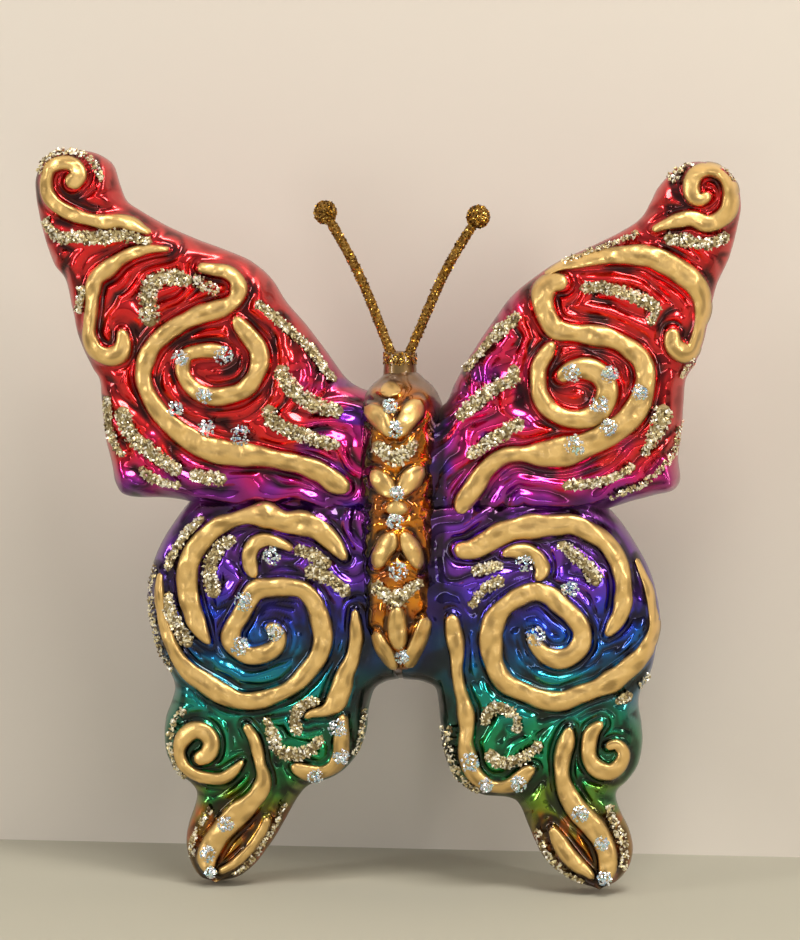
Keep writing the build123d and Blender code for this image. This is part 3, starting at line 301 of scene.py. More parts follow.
# Glitter strokes: (column, row, width in pixels) along each stroke
GLITTER = {
    "left_forewing": (
        ((42, 222, 6), (50, 235, 8), (60, 240, 9), (75, 240, 10), (90, 240, 11), (105, 240, 11),
         (120, 238, 10), (135, 241, 8), (150, 245, 5)),
        ((149, 325, 15), (149, 310, 14), (147, 295, 14), (155, 284, 13), (168, 280, 12),
         (180, 281, 11), (190, 284, 8)),
        ((80, 290, 7), (79, 302, 6), (75, 315, 5)),
        ((105, 400, 5), (105, 414, 7), (107, 433, 7), (113, 448, 6), (122, 459, 4)),
        ((121, 412, 11), (124, 427, 12), (134, 442, 12), (149, 453, 11), (163, 464, 10),
         (178, 474, 10)),
        ((190, 476, 8), (205, 479, 10), (224, 481, 9)),
        ((139, 471, 6), (150, 480, 7), (164, 485, 6), (179, 488, 5)),
        ((257, 305, 6), (272, 316, 7), (287, 329, 7), (302, 342, 7), (315, 355, 7), (324, 368, 6),
         (335, 381, 6)),
        ((280, 370, 11), (287, 383, 12), (296, 394, 12), (309, 403, 12), (324, 409, 11),
         (341, 412, 9)),
        ((269, 409, 10), (271, 420, 11), (281, 428, 11), (294, 434, 11), (309, 438, 10),
         (324, 443, 9), (339, 446, 7)),
    ),
    "left_hindwing": (
        ((234, 540, 6), (223, 546, 9), (214, 556, 10), (210, 567, 10), (209, 578, 11),
         (211, 588, 12), (214, 597, 11)),
        ((202, 520, 5), (193, 528, 7), (184, 537, 7), (176, 548, 7), (170, 559, 6),
         (166, 573, 5)),
        ((167, 596, 6), (167, 611, 9), (173, 624, 10), (180, 637, 10), (187, 648, 9)),
        ((296, 550, 8), (307, 553, 10), (318, 558, 10), (329, 566, 8)),
        ((307, 570, 9), (318, 574, 12), (329, 578, 10), (340, 586, 9), (348, 594, 8)),
        ((318, 701, 5), (310, 704, 8), (299, 709, 10), (294, 718, 8), (295, 728, 10),
         (299, 736, 6)),
        ((266, 721, 4), (269, 730, 7), (273, 740, 10), (276, 750, 10), (286, 756, 10),
         (298, 756, 10), (310, 752, 9), (317, 745, 8), (321, 738, 5)),
    ),
    "right_forewing": (
        ((662, 239, 7), (672, 240, 9), (684, 242, 10), (696, 244, 9), (706, 244, 8),
         (716, 240, 8), (724, 236, 7)),
        ((580, 289, 8), (594, 288, 8), (608, 289, 9), (623, 294, 9), (638, 300, 11),
         (650, 305, 11), (652, 314, 7), (646, 323, 5)),
        ((517, 314, 5), (512, 321, 8), (502, 329, 11), (491, 339, 8), (482, 350, 6),
         (473, 360, 6), (465, 370, 6)),
        ((513, 367, 9), (513, 377, 10), (505, 383, 10), (495, 386, 9), (486, 393, 11),
         (477, 401, 11), (468, 408, 10), (459, 418, 8)),
        ((521, 421, 8), (511, 426, 10), (500, 434, 11), (489, 441, 10), (478, 448, 9),
         (468, 455, 9)),
        ((661, 406, 12), (660, 417, 14), (654, 429, 12), (648, 441, 7), (641, 453, 4)),
        ((632, 464, 6), (620, 471, 5), (606, 477, 6), (591, 481, 7), (577, 482, 8),
         (563, 484, 8)),
    ),
    "right_hindwing": (
        ((502, 562, 5), (494, 564, 7), (484, 567, 9), (473, 570, 8)),
        ((502, 578, 8), (492, 582, 9), (484, 588, 7), (476, 597, 6), (471, 604, 6)),
        ((558, 541, 6), (566, 546, 9), (575, 553, 10), (584, 561, 10), (592, 570, 12),
         (595, 580, 10)),
        ((486, 723, 6), (486, 714, 8), (493, 707, 10), (503, 706, 9), (513, 711, 7),
         (518, 720, 5), (516, 729, 8)),
        ((491, 750, 9), (494, 758, 10), (503, 762, 9), (513, 759, 9), (523, 757, 9),
         (532, 750, 7), (540, 741, 7)),
        ((631, 692, 7), (624, 694, 8), (617, 699, 6)),
    ),
    "body": (
        ((376, 446, 11), (385, 452, 11), (396, 458, 13), (407, 452, 10), (416, 442, 5)),
        ((374, 585, 10), (384, 592, 11), (396, 598, 14), (408, 590, 10), (421, 580, 7)),
    ),
}

# Crystal dots: (column, row, radius in pixels)
CRYSTALS = {
    "left_forewing": (
        (180, 361, 7), (224, 358, 8), (204, 398, 7), (174, 412, 7), (206, 430, 7), (240, 438, 9),
    ),
    "left_hindwing": (
        (272, 557, 8), (243, 603, 8), (239, 648, 8), (274, 634, 7), (337, 729, 8), (341, 758, 7),
        (314, 778, 7), (223, 829, 7), (205, 860, 7), (208, 879, 5),
    ),
    "right_forewing": (
        (570, 373, 8), (607, 374, 7), (597, 404, 8), (637, 391, 7), (606, 426, 7), (573, 444, 9),
    ),
    "right_hindwing": (
        (524, 560, 8), (569, 586, 7), (535, 634, 8), (470, 761, 8), (486, 784, 6), (518, 782, 7),
        (580, 811, 7), (602, 841, 6), (605, 876, 6),
    ),
    "body": (
        (390, 407, 6), (395, 430, 7), (397, 493, 6), (395, 521, 7), (398, 570, 8), (402, 656, 6),
    ),
}

# %% More thin glitter lines along the rims, only in the looks
RIM_LINES = {
    "left_forewing": (
        ((36, 175, 5), (45, 161, 5), (55, 154, 6), (70, 153, 5), (83, 157, 5), (92, 165, 5),
         (99, 177, 5), (103, 185, 4)),
        ((193, 283, 8), (203, 286, 9), (212, 291, 9), (219, 295, 6)),
    ),
    "left_hindwing": (
        ((153, 567, 4), (149, 580, 4), (147, 599, 4), (149, 621, 4), (153, 639, 4), (159, 658, 4),
         (170, 676, 4)),
        ((208, 814, 4), (200, 827, 4), (192, 841, 4), (188, 854, 4), (188, 865, 4)),
        ((283, 808, 4), (278, 824, 4), (267, 841, 4), (254, 861, 4), (243, 873, 4),
         (230, 883, 4)),
        ((182, 712, 5), (174, 724, 5), (168, 736, 4), (166, 747, 3), (168, 760, 3), (174, 776, 4),
         (182, 784, 4)),
        ((364, 708, 4), (362, 734, 4), (359, 747, 4), (354, 756, 3)),
    ),
    "right_forewing": (
        ((667, 182, 6), (673, 175, 8), (681, 168, 4), (689, 165, 3)),
        ((718, 169, 3), (724, 172, 3), (731, 182, 3)),
        ((561, 262, 4), (576, 256, 4), (591, 250, 4), (608, 245, 4), (623, 239, 4),
         (638, 233, 4)),
        ((680, 416, 4), (678, 426, 4), (675, 444, 4), (667, 457, 4), (653, 471, 4), (640, 482, 4),
         (624, 489, 4), (609, 495, 4)),
        ((693, 358, 5), (687, 365, 5), (680, 375, 4)),
    ),
    "right_hindwing": (
        ((446, 726, 8), (447, 739, 7), (449, 750, 6), (454, 765, 6), (460, 777, 6), (470, 786, 5),
         (480, 791, 4)),
        ((650, 671, 4), (644, 679, 4), (640, 684, 4)),
        ((610, 803, 5), (612, 811, 7), (616, 821, 5), (621, 832, 8), (625, 844, 7), (626, 855, 6),
         (624, 868, 4)),
        ((537, 829, 6), (541, 839, 5), (547, 853, 4), (557, 863, 5), (571, 875, 4),
         (585, 881, 3)),
    ),
    "body": (),
}
print("tables read")

# %% [markdown]
# ## Small tools for arrays
#
# Nothing below loops over vertices. A smooth line through a few points, a distance to many strips
# and a wavy field are worked out for whole arrays at once, and one helper turns a grid of points
# into a mesh.

# %% Smooth lines, distances and waves
def smooth_step(low, high, value):
    """0 below low, 1 above high, and 3t^2 - 2t^3 between them."""
    t = np.clip((value - low) / (high - low), 0, 1)
    return t * t * (3 - 2 * t)


def bell(middle, width, value):
    """A rounded bump of height 1: exp(-((value - middle) / width)^2)."""
    return np.exp(-((value - middle) / width) ** 2)


def steps_of(line):
    """The length of each step along a line, in its first two coordinates."""
    return np.linalg.norm(np.diff(line[:, :2], axis=0), axis=1)


def way_along(line):
    """How far along a line each of its points lies."""
    return np.r_[0, np.cumsum(steps_of(line))]


def evenly(line, count):
    """A line cut anew into count places, evenly along its way."""
    run = way_along(line)
    places = np.linspace(0, run[-1], count)
    return np.stack([np.interp(places, run, axis) for axis in line.T], axis=-1)


def headings(line):
    """The unit direction of a line at each of its points."""
    way = np.gradient(line, axis=0)
    return way / np.linalg.norm(way, axis=1, keepdims=True)


SPLINE_STEPS = 24


def smooth_line(points, count):
    """A cubic curve through the points, cut into count places evenly along its length.

    Its slope at each point is half the way from the point before to the point after.
    """
    p = np.asarray(points, float)
    p = np.vstack([2 * p[:1] - p[1:2], p, 2 * p[-1:] - p[-2:-1]])
    t = np.linspace(0, 1, SPLINE_STEPS, endpoint=False)[None, :, None]
    a, b, c, d = (p[i:len(p) - 3 + i][:, None, :] for i in range(4))
    fine = 0.5 * (2 * b + (c - a) * t + (2 * a - 5 * b + 4 * c - d) * t ** 2
                  + (3 * b - a - 3 * c + d) * t ** 3)
    return evenly(np.vstack([fine.reshape(-1, p.shape[1]), p[-2:-1]]), count)


CHUNK = 8192


def strip_gap(columns, rows, strips):
    """Distance in pixels from each place to the nearest strip's edge; below 0 it lies inside."""
    lines = [smooth_line(strip, max(8, 3 * len(strip))) for strip in strips]
    starts = np.vstack([line[:-1] for line in lines])
    ends = np.vstack([line[1:] for line in lines])
    along = ends[:, :2] - starts[:, :2]
    square = np.maximum((along ** 2).sum(1), 1e-9)
    gap = np.full(columns.size, 1e9)
    places = np.stack([columns.ravel(), rows.ravel()], axis=-1)
    for first in range(0, len(places), CHUNK):
        away = places[first:first + CHUNK, None, :] - starts[None, :, :2]
        t = np.clip((away * along).sum(-1) / square, 0, 1)
        reach = np.linalg.norm(away - t[..., None] * along, axis=-1)
        half = (starts[:, 2] + (ends[:, 2] - starts[:, 2]) * t) / 2
        gap[first:first + CHUNK] = (reach - half).min(1)
    return gap.reshape(columns.shape)


def waves(columns, rows, length, seed, count=14):
    """A wavy field from -1 to 1: the sum of sines that run in seeded directions."""
    chance = np.random.default_rng(seed)
    turn = chance.uniform(0, 2 * math.pi, count)
    size = 2 * math.pi / (length * chance.uniform(0.7, 1.5, count))
    phase = chance.uniform(0, 2 * math.pi, count)
    total = sum(np.sin(s * (columns * math.cos(a) + rows * math.sin(a)) + p)
                for a, s, p in zip(turn, size, phase))
    return total / math.sqrt(count) / 1.2


def srgb(red, green, blue):
    """A given colour, as the linear values that a shader takes."""
    value = np.array([red, green, blue], float)
    low = value / 12.92
    high = ((value + 0.055) / 1.055) ** 2.4
    return np.where(value <= 0.04045, low, high)


# %% From a grid of points to a mesh
WELD_DISTANCE = 2e-6
LEAST_EDGE = 1e-7


def weld_and_turn(mesh):
    """Close the seams and poles of a mesh and turn its faces outwards."""
    work = bmesh.new()
    work.from_mesh(mesh.data)
    bmesh.ops.remove_doubles(work, verts=work.verts, dist=WELD_DISTANCE)
    bmesh.ops.dissolve_degenerate(work, edges=work.edges, dist=LEAST_EDGE)
    bmesh.ops.recalc_face_normals(work, faces=work.faces)
    work.to_mesh(mesh.data)
    work.free()


def new_piece(name, points, faces, material, smooth=True, weld=True):
    """A mesh from arrays of points and faces, riding on the ornament."""
    data = bpy.data.meshes.new(name)
    data.from_pydata(np.asarray(points).reshape(-1, 3), [], faces)
    piece = bpy.data.objects.new(name, data)
    bpy.context.scene.collection.objects.link(piece)
    if weld:
        weld_and_turn(piece)
    data.polygons.foreach_set("use_smooth", np.full(len(data.polygons), smooth))
    data.materials.append(material)
    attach(piece, "ornament")
    return piece


def ring_faces(grid):
    """The quads of a stack of rings: the last column joins the first."""
    rows, columns = grid.shape[:2]
    i = np.arange(rows - 1)[:, None]
    j = np.arange(columns)[None, :]
    k = (j + 1) % columns
    quads = np.stack([i * columns + j, i * columns + k, (i + 1) * columns + k,
                      (i + 1) * columns + j], axis=-1)
    return quads.reshape(-1, 4)


def ring_piece(name, grid, material):
    """A piece from a stack of rings."""
    return new_piece(name, grid, ring_faces(grid), material)


def with_poles(grid):
    """The stack of rings with a pole at each end: all its points at the end ring's middle."""
    first, last = (np.broadcast_to(ring.mean(0), ring.shape)[None] for ring in (grid[0], grid[-1]))
    return np.concatenate([first, grid, last], axis=0)


def round_turn(count):
    """Count angles evenly round a full turn."""
    return np.linspace(0, 2 * math.pi, count, endpoint=False)


def vertices_of(piece):
    """A piece's vertices as one array."""
    places = np.empty(len(piece.data.vertices) * 3, np.float32)
    piece.data.vertices.foreach_get("co", places)
    return places.reshape(-1, 3).astype(float)


def paint(piece, name, values):
    """Keep a number or a colour per vertex, which the material reads back by its name."""
    values = np.asarray(values, np.float32)
    kind = "FLOAT" if values.ndim == 1 else "FLOAT_COLOR"
    layer = piece.data.attributes.new(name, kind, "POINT")
    if values.ndim == 1:
        layer.data.foreach_set("value", values)
    else:
        opaque = np.hstack([values, np.ones((len(values), 1), np.float32)])
        layer.data.foreach_set("color", opaque.ravel())


# %% [markdown]
# ## Finishes
#
# The glass is a mirror seen through coloured lacquer: a metal whose colour is the lacquer, with a
# clear coat on top. Its colour is painted per vertex, and fine hammering comes from a noise bump.
# The gold is a satin paint, so it is rougher and never mirrors clearly. Glitter and crystal are
# tiny flat mirrors.

# %% A shared group: hammered bumps
def add_node(nodes, kind, **inputs):
    """A new node whose inputs have the values given; an underscore stands for a space."""
    node = nodes.new(kind)
    for name, value in inputs.items():
        node.inputs[name.replace("_", " ")].default_value = value
    return node


def hammer_group():
    """Fine lumps on painted relief: noise of a given size, as a normal."""
    group = bpy.data.node_groups.new("Hammered surface", "ShaderNodeTree")
    for name, way, kind in (("Lump size", "INPUT", "Float"), ("Depth", "INPUT", "Float"),
                            ("Normal", "OUTPUT", "Vector"), ("Lumps", "OUTPUT", "Float")):
        group.interface.new_socket(name, in_out=way, socket_type=f"NodeSocket{kind}")
    inside = add_node(group.nodes, "NodeGroupInput")
    outside = add_node(group.nodes, "NodeGroupOutput")
    place = add_node(group.nodes, "ShaderNodeTexCoord")
    noise = add_node(group.nodes, "ShaderNodeTexNoise", Detail=3.0)
    bump = add_node(group.nodes, "ShaderNodeBump", Distance=0.6 * MM)
    link = group.links.new
    link(place.outputs["Object"], noise.inputs["Vector"])
    link(inside.outputs["Lump size"], noise.inputs["Scale"])
    link(noise.outputs["Fac"], bump.inputs["Height"])
    link(inside.outputs["Depth"], bump.inputs["Strength"])
    link(bump.outputs["Normal"], outside.inputs["Normal"])
    link(noise.outputs["Fac"], outside.inputs["Lumps"])
    return group


hammered = hammer_group()


CLEAR_COAT_ROUGHNESS = 0.06
DUSTY_ROUGHNESS = 0.55
# Painted shade: the near-black mixed in where a surface turns away from the eye
PAINTED_EDGE_SHADE = (0.02, 0.015, 0.015, 1)


def mixed(nodes, link, factor, first, second):
    """The first colour mixed with a plain second one by a factor."""
    mix = nodes.new("ShaderNodeMix")
    mix.data_type = "RGBA"
    mix.inputs["B"].default_value = second
    link(factor, mix.inputs["Factor"])
    if isinstance(first, bpy.types.NodeSocket):
        link(first, mix.inputs["A"])
    else:
        mix.inputs["A"].default_value = first
    return mix.outputs["Result"]


def finish(name, color, metallic, roughness, lumps=0.0, depth=0.0, coat=0.0, painted=None,
           patina_and_shade=None, patina_and_shade_color=None, rough_layer=None, dark_edge=0.0):
    """A Principled finish: its colour plain or from a painted layer, with patina and painted shade,
    and lumps.

    With dark_edge, a painted shade darkens the colour where the surface turns away from the eye.
    """
    material = bpy.data.materials.new(name)
    material.use_nodes = True
    nodes, link = material.node_tree.nodes, material.node_tree.links.new
    shader = nodes["Principled BSDF"]
    source = (*color, 1)
    for socket, value in (("Base Color", source), ("Metallic", metallic),
                          ("Roughness", roughness), ("Coat Weight", coat),
                          ("Coat Roughness", CLEAR_COAT_ROUGHNESS)):
        shader.inputs[socket].default_value = value

    def layer(painted_name, output):
        """A painted layer's colour or number."""
        reader = nodes.new("ShaderNodeAttribute")
        reader.attribute_name = painted_name
        return reader.outputs[output]

    if painted:
        source = layer(painted, "Color")
    # The darker layer: painted shade on the glass, patina and brush streaks on the gold
    if patina_and_shade:
        source = mixed(nodes, link, layer(patina_and_shade, "Fac"), source, (*patina_and_shade_color, 1))
    # Painted shade along the edges seen at a slant
    if dark_edge:
        turned = add_node(nodes, "ShaderNodeLayerWeight", Blend=0.32)
        amount = add_node(nodes, "ShaderNodeMapRange", From_Min=0.55, To_Max=dark_edge)
        link(turned.outputs["Facing"], amount.inputs["Value"])
        source = mixed(nodes, link, amount.outputs["Result"], source, PAINTED_EDGE_SHADE)
    if painted or patina_and_shade:
        link(source, shader.inputs["Base Color"])
    if rough_layer:
        spread = add_node(nodes, "ShaderNodeMapRange", To_Min=roughness, To_Max=DUSTY_ROUGHNESS)
        link(layer(rough_layer, "Fac"), spread.inputs["Value"])
        link(spread.outputs["Result"], shader.inputs["Roughness"])
    if lumps:
        group = nodes.new("ShaderNodeGroup")
        group.node_tree = hammered
        group.inputs["Lump size"].default_value = lumps
        group.inputs["Depth"].default_value = depth
        link(group.outputs["Normal"], shader.inputs["Normal"])
    return material


# %% The finishes by name
# Name, colour, metallic, roughness, the lumps' size and depth, the coat, and the painted layers
# On the glass a near-black painted shade darkens grooves and roots, and a painted shade darkens the
# slanting edges
lacquered_glass = finish("Lacquered silvered glass", srgb(0.8, 0.1, 0.1), 1.0, 0.16, 230, 0.12,
                         0.7, "Lacquer", "PaintedShade", srgb(0.08, 0.03, 0.04), "Dust", 0.8)
satin_gold = finish("Satin gold paint", srgb(0.93, 0.78, 0.5), 0.8, 0.38, 300, 0.5, 0.1,
                    None, "Edge", srgb(0.46, 0.34, 0.17))
pale_glue = finish("Glue under the glitter", srgb(0.62, 0.55, 0.38), 0.4, 0.5, 1500, 0.8)
glitter_metal = finish("Pale gold glitter", srgb(0.9, 0.87, 0.74), 0.6, 0.28, painted="Tint")
crystal_flake = finish("Crystal glitter", srgb(0.85, 0.92, 0.98), 0.75, 0.12, coat=0.6,
                       painted="Tint")
antenna_glue = finish("Dark gold coat", srgb(0.5, 0.36, 0.12), 0.6, 0.45, 1500, 0.9)
dark_flake = finish("Dark gold glitter", srgb(0.7, 0.52, 0.2), 1.0, 0.25, painted="Tint")
tinplate = finish("Bright tinplate", srgb(0.72, 0.71, 0.68), 1.0, 0.3, 300, 0.1)
yellow_tin = finish("Gold-coloured tinplate", srgb(0.83, 0.68, 0.38), 1.0, 0.28, 300, 0.1)
spring_wire = finish("Spring wire", srgb(0.7, 0.7, 0.7), 1.0, 0.22)
cork_brown = finish("Plug and set glue", srgb(0.45, 0.33, 0.18), 0.0, 0.8, 900, 0.5)
print("finishes", len(bpy.data.materials))

# %% [markdown]
# ## Camera, lamps, wall and floor
#
# The photograph was taken almost square on, from a little to the right and above, under soft room
# light with bright lamps overhead. A mirror shows whatever stands round it, so the lamps are large
# soft panels, and the streaks on the folds are their reflections.

# %% Camera and lamps
PHOTO_WIDTH = 800
PHOTO_MIDDLE = (400, 470)
CAMERA_DISTANCE = 0.75
SENSOR_MM = 36
aim = Vector(plane_points(*PHOTO_MIDDLE))
towards = Vector((math.sin(AZIMUTH) * math.cos(ELEVATION),
                  -math.cos(AZIMUTH) * math.cos(ELEVATION), math.sin(ELEVATION)))
camera_data = bpy.data.cameras.new("Camera")
camera_data.sensor_fit = "HORIZONTAL"
camera_data.lens = SENSOR_MM * CAMERA_DISTANCE / (PHOTO_WIDTH * PIXEL)
camera = bpy.data.objects.new("Camera", camera_data)
camera.location = aim + towards * CAMERA_DISTANCE
camera.rotation_euler = (-towards).to_track_quat("-Z", "Y").to_euler()
bpy.context.scene.collection.objects.link(camera)
bpy.context.scene.camera = camera


def lamp(name, place, power, width, height, color=(1, 1, 1)):
    """A soft panel that looks at the ornament."""
    data = bpy.data.lights.new(name, "AREA")
    data.shape = "RECTANGLE"
    data.size = width
    data.size_y = height
    data.energy = power
    data.color = color
    panel = bpy.data.objects.new(name, data)
    panel.location = place
    panel.rotation_euler = (aim - Vector(place)).to_track_quat("-Z", "Y").to_euler()
    bpy.context.scene.collection.objects.link(panel)


lamp("Ceiling lamp", (0.22, -0.42, 0.80), 5.6, 0.45, 0.22, (1.0, 0.95, 0.89))
lamp("Left window", (-0.9, -0.7, 0.30), 3.4, 0.12, 0.6, (1.0, 0.97, 0.93))
lamp("Right lamp", (0.85, -0.75, 0.45), 4.2, 0.12, 0.5, (1.0, 0.93, 0.86))
lamp("Low front lamp", (0.1, -1.1, -0.05), 0.8, 0.5, 0.08)

world = bpy.data.worlds.new("Soft room")
bpy.context.scene.world = world
world.use_nodes = True
nodes, link = world.node_tree.nodes, world.node_tree.links.new
way = nodes.new("ShaderNodeTexCoord")
split = nodes.new("ShaderNodeSeparateXYZ")
ramp = nodes.new("ShaderNodeValToRGB")
below, above = ramp.color_ramp.elements
below.position, below.color = 0.40, (0.12, 0.11, 0.105, 1)
above.position, above.color = 0.95, (0.95, 0.9, 0.84, 1)
ramp.color_ramp.elements.new(0.56).color = (0.50, 0.46, 0.43, 1)
shift = add_node(nodes, "ShaderNodeMapRange", From_Min=-1.0)
link(way.outputs["Generated"], split.inputs["Vector"])
link(split.outputs["Z"], shift.inputs["Value"])
link(shift.outputs["Result"], ramp.inputs["Fac"])
link(ramp.outputs["Color"], nodes["Background"].inputs["Color"])
nodes["Background"].inputs["Strength"].default_value = 0.62
bpy.context.scene.view_settings.view_transform = "Standard"

# %% [markdown]
# The wall is solid from the front and open from behind, so that the ornament's back can be seen
# too.

# %% Wall and floor
FLOOR_Z = -0.0632
WALL_Y = 0.020
FOOT = (WALL_Y, FLOOR_Z)
FAR = 2


def plain_sheet(name, first, second, color):
    """A flat stage piece of a plain colour, between two long edges at (y, z)."""
    data = bpy.data.meshes.new(name)
    data.from_pydata([(-FAR, *first), (FAR, *first), (FAR, *second), (-FAR, *second)], [],
                     [(0, 1, 2, 3)])
    sheet = bpy.data.objects.new(name, data)
    bpy.context.scene.collection.objects.link(sheet)
    data.materials.append(finish(name, color, 0.0, 0.8))
    return sheet


wall = plain_sheet("Wall", FOOT, (WALL_Y, FAR), srgb(0.84, 0.815, 0.775))
tree = wall.data.materials[0].node_tree
nodes, link = tree.nodes, tree.links.new
side = nodes.new("ShaderNodeNewGeometry")
open_back = nodes.new("ShaderNodeBsdfTransparent")
either = nodes.new("ShaderNodeMixShader")
link(side.outputs["Backfacing"], either.inputs["Fac"])
link(nodes["Principled BSDF"].outputs["BSDF"], either.inputs[1])
link(open_back.outputs["BSDF"], either.inputs[2])
link(either.outputs["Shader"], nodes["Material Output"].inputs["Surface"])
plain_sheet("Floor", (-FAR, FLOOR_Z), FOOT, srgb(0.68, 0.67, 0.61))

# %% [markdown]
# ## The blown wings
#
# A wing is a bubble pressed flat: rounded rims and a nearly flat face. It is laid out on a grid.
# One parameter runs from the root to the tip. The other goes round the wing: up one rim, across the
# front to a spine line, on to the other rim, and back behind. Relief is added on the front alone:
# the glass rises under each scroll, dips into a groove beside it, which painted shade darkens, and
# ripples along it further out.

# %% A wing as a grid
RIM = 0.0046
RIM_ROOM_SHARE = 0.75
RIM_SLOPE = 0.4
FRONT_DOME_SHARE = 0.10
BACK_DOME_SHARE = 0.04
STATIONS = 400
RIM_STEPS = 12
FRONT_STEPS = 58
BACK_STEPS = 8
SPINE_PLACES = 2000
CALM_STATIONS = 20


def side_rings(side, normals, reach, spine, steps, front):
    """Points from a side's edge to the spine, with the share of the full depth at each.

    In the rim the inset is reach * (1 - cos a) and the depth sin a; then a straight run leads to
    the spine, on a dome that rises a little more.
    """
    angle = np.linspace(0, math.pi / 2, RIM_STEPS + 1)
    inset = side[:, None] + normals[:, None] * (reach[:, None] * (1 - np.cos(angle)))[..., None]
    share = np.linspace(0, 1, steps + 1)[1:]
    last = inset[:, -1:]
    run = last + (spine[:, None] - last) * share[None, :, None]
    dome = FRONT_DOME_SHARE if front else BACK_DOME_SHARE
    depth = np.r_[np.sin(angle), 1 + dome * smooth_step(0, 1, share)]
    return np.concatenate([inset, run], axis=1), np.broadcast_to(depth, (len(side), len(depth)))


def rim_reach(loop, normal):
    """How far the rim reaches inwards from each place of the outline, in pixels.

    A circle that touches the outline there has room for the least |c|^2 / (2 c.n), where c runs
    over the chords to all other places and n is the normal.
    """
    chords = loop[None] - loop[:, None]
    ahead = (chords * normal[:, None]).sum(-1)
    room = np.where(ahead > 1e-6, (chords ** 2).sum(-1) / np.maximum(2 * ahead, 1e-6), 1e9).min(1)
    reach = np.minimum(RIM / PIXEL, RIM_ROOM_SHARE * room)
    run = way_along(loop)
    return (reach[None] + RIM_SLOPE * np.abs(run[None] - run[:, None])).min(1)


def spine_places(sides, spine):
    """A place on the spine for each station: midway between the nearest to both sides, calmed."""
    line = smooth_line(spine, SPINE_PLACES)
    nearest = [np.maximum.accumulate(
        ((side[:, None] - line[None]) ** 2).sum(-1).argmin(1)) for side in sides]
    share = (nearest[0] + nearest[1]) / 2 / (len(line) - 1)
    calm, window = CALM_STATIONS, 2 * CALM_STATIONS + 1
    padded = np.r_[2 * share[0] - share[calm:0:-1], share,
                   2 * share[-1] - share[-2:-2 - calm:-1]]
    share = np.convolve(padded, np.ones(window) / window, "valid")
    share = (share - share[0]) / (share[-1] - share[0])
    shares = np.linspace(0, 1, len(line))
    return np.stack([np.interp(share, shares, axis) for axis in line.T], axis=-1)


def wing_grid(outline, tip, spine, root_depth, tip_depth):
    """The wing's grid of points (station, round, 3), from the root to the tip."""
    tip_index = min(range(len(outline)), key=lambda i: math.dist(outline[i], tip))
    upper = smooth_line(outline[:tip_index + 1], STATIONS)
    lower = smooth_line(outline[tip_index:][::-1], STATIONS)
    lower[-1] = upper[-1]
    loop = np.vstack([upper, lower[::-1][1:]])
    way = headings(loop)
    normal = np.stack([-way[:, 1], way[:, 0]], axis=-1)
    area = (loop[:-1, 0] * loop[1:, 1] - loop[1:, 0] * loop[:-1, 1]).sum()
    normal *= np.sign(area)
    reach = rim_reach(loop, normal)
    both = (upper, lower)
    target = spine_places(both, spine)
    normals = (normal[:STATIONS], normal[STATIONS - 1:][::-1])
    reaches = (reach[:STATIONS], reach[STATIONS - 1:][::-1])
    root = np.asarray((outline[0], outline[-1]), float).mean(0)
    span = np.asarray(tip, float) - root

    def half(side, front):
        """One side's share of the front or the back, in metres."""
        steps = FRONT_STEPS if front else BACK_STEPS
        places, depth = side_rings(both[side], normals[side], reaches[side], target, steps, front)
        along = np.clip(((places - root) @ span) / (span @ span), -0.1, 1.05)
        depth = depth * (root_depth + (tip_depth - root_depth) * along)
        points = plane_points(places[..., 0], places[..., 1])
        points[..., 1] += -depth if front else depth
        return points

    rounds = [half(0, True), half(1, True)[:, ::-1][:, 1:], half(1, False)[:, 1:],
              half(0, False)[:, ::-1][:, 1:-1]]
    grid = np.concatenate(rounds, axis=1)
    pole = np.broadcast_to(grid[0].mean(0), grid[0].shape)
    return np.concatenate([pole[None], grid], axis=0)


# Heights and distances of the relief, in millimetres
SWELL = 0.45
GROOVE, GROOVE_GAP, GROOVE_WIDTH = 0.5, 0.8, 0.6
RIPPLE, RIPPLE_PITCH = 0.42, 3.6
FOLD = 0.14


def relief(columns, rows, gold, seed):
    """How far the glass stands forward, and the gap d to the nearest scroll in millimetres.

    The glass swells under a scroll. The groove beside it is a dip of 0.5 exp(-((d - 0.8) / 0.6)^2)
    and the ripples are 0.42 cos(2 pi d / 3.6), bent by slow waves so that they wander.
    """
    drift = waves(columns, rows, 75, seed) * 1.5 + waves(columns, rows, 34, seed + 1) * 0.30
    gap = strip_gap(columns, rows, gold) * PIXEL / MM
    under = SWELL * smooth_step(0.5, -0.3, gap)
    groove = -GROOVE * bell(GROOVE_GAP, GROOVE_WIDTH, gap)
    far = smooth_step(GROOVE_GAP, 2.0, gap)
    ripple = RIPPLE * np.cos(2 * math.pi * (gap + drift) / RIPPLE_PITCH) * far
    folds = FOLD * waves(columns * 0.6 + rows * 0.5, rows * 1.2, 20, seed + 2) * far
    return (under + groove + ripple + folds) * MM, gap


# %% The lacquers' colours over the wings
FOREWING_RED = srgb(0.97, 0.15, 0.17)
FOREWING_MAGENTA = srgb(0.90, 0.11, 0.52)
FOREWING_PURPLE = srgb(0.52, 0.17, 0.72)
FOREWING_VIOLET = srgb(0.34, 0.16, 0.78)
HINDWING_ROWS = (486, 520, 560, 600, 625, 655, 690, 730, 780, 802, 835, 875)
HINDWING_COLORS = np.array([srgb(*c) for c in (
    (0.66, 0.16, 0.62), (0.54, 0.20, 0.72), (0.50, 0.22, 0.80), (0.32, 0.22, 0.84),
    (0.12, 0.28, 0.84), (0.05, 0.48, 0.76), (0.04, 0.60, 0.62), (0.05, 0.60, 0.44),
    (0.08, 0.60, 0.30), (0.46, 0.60, 0.14), (0.72, 0.52, 0.12), (0.70, 0.55, 0.22),
)])
HINDWING_EMBER = srgb(0.90, 0.46, 0.05)


def blend_colors(first, second, share):
    """First colour, plain or one per place, and second colour, mixed by a share per place."""
    return first + (second - first) * share[:, None]


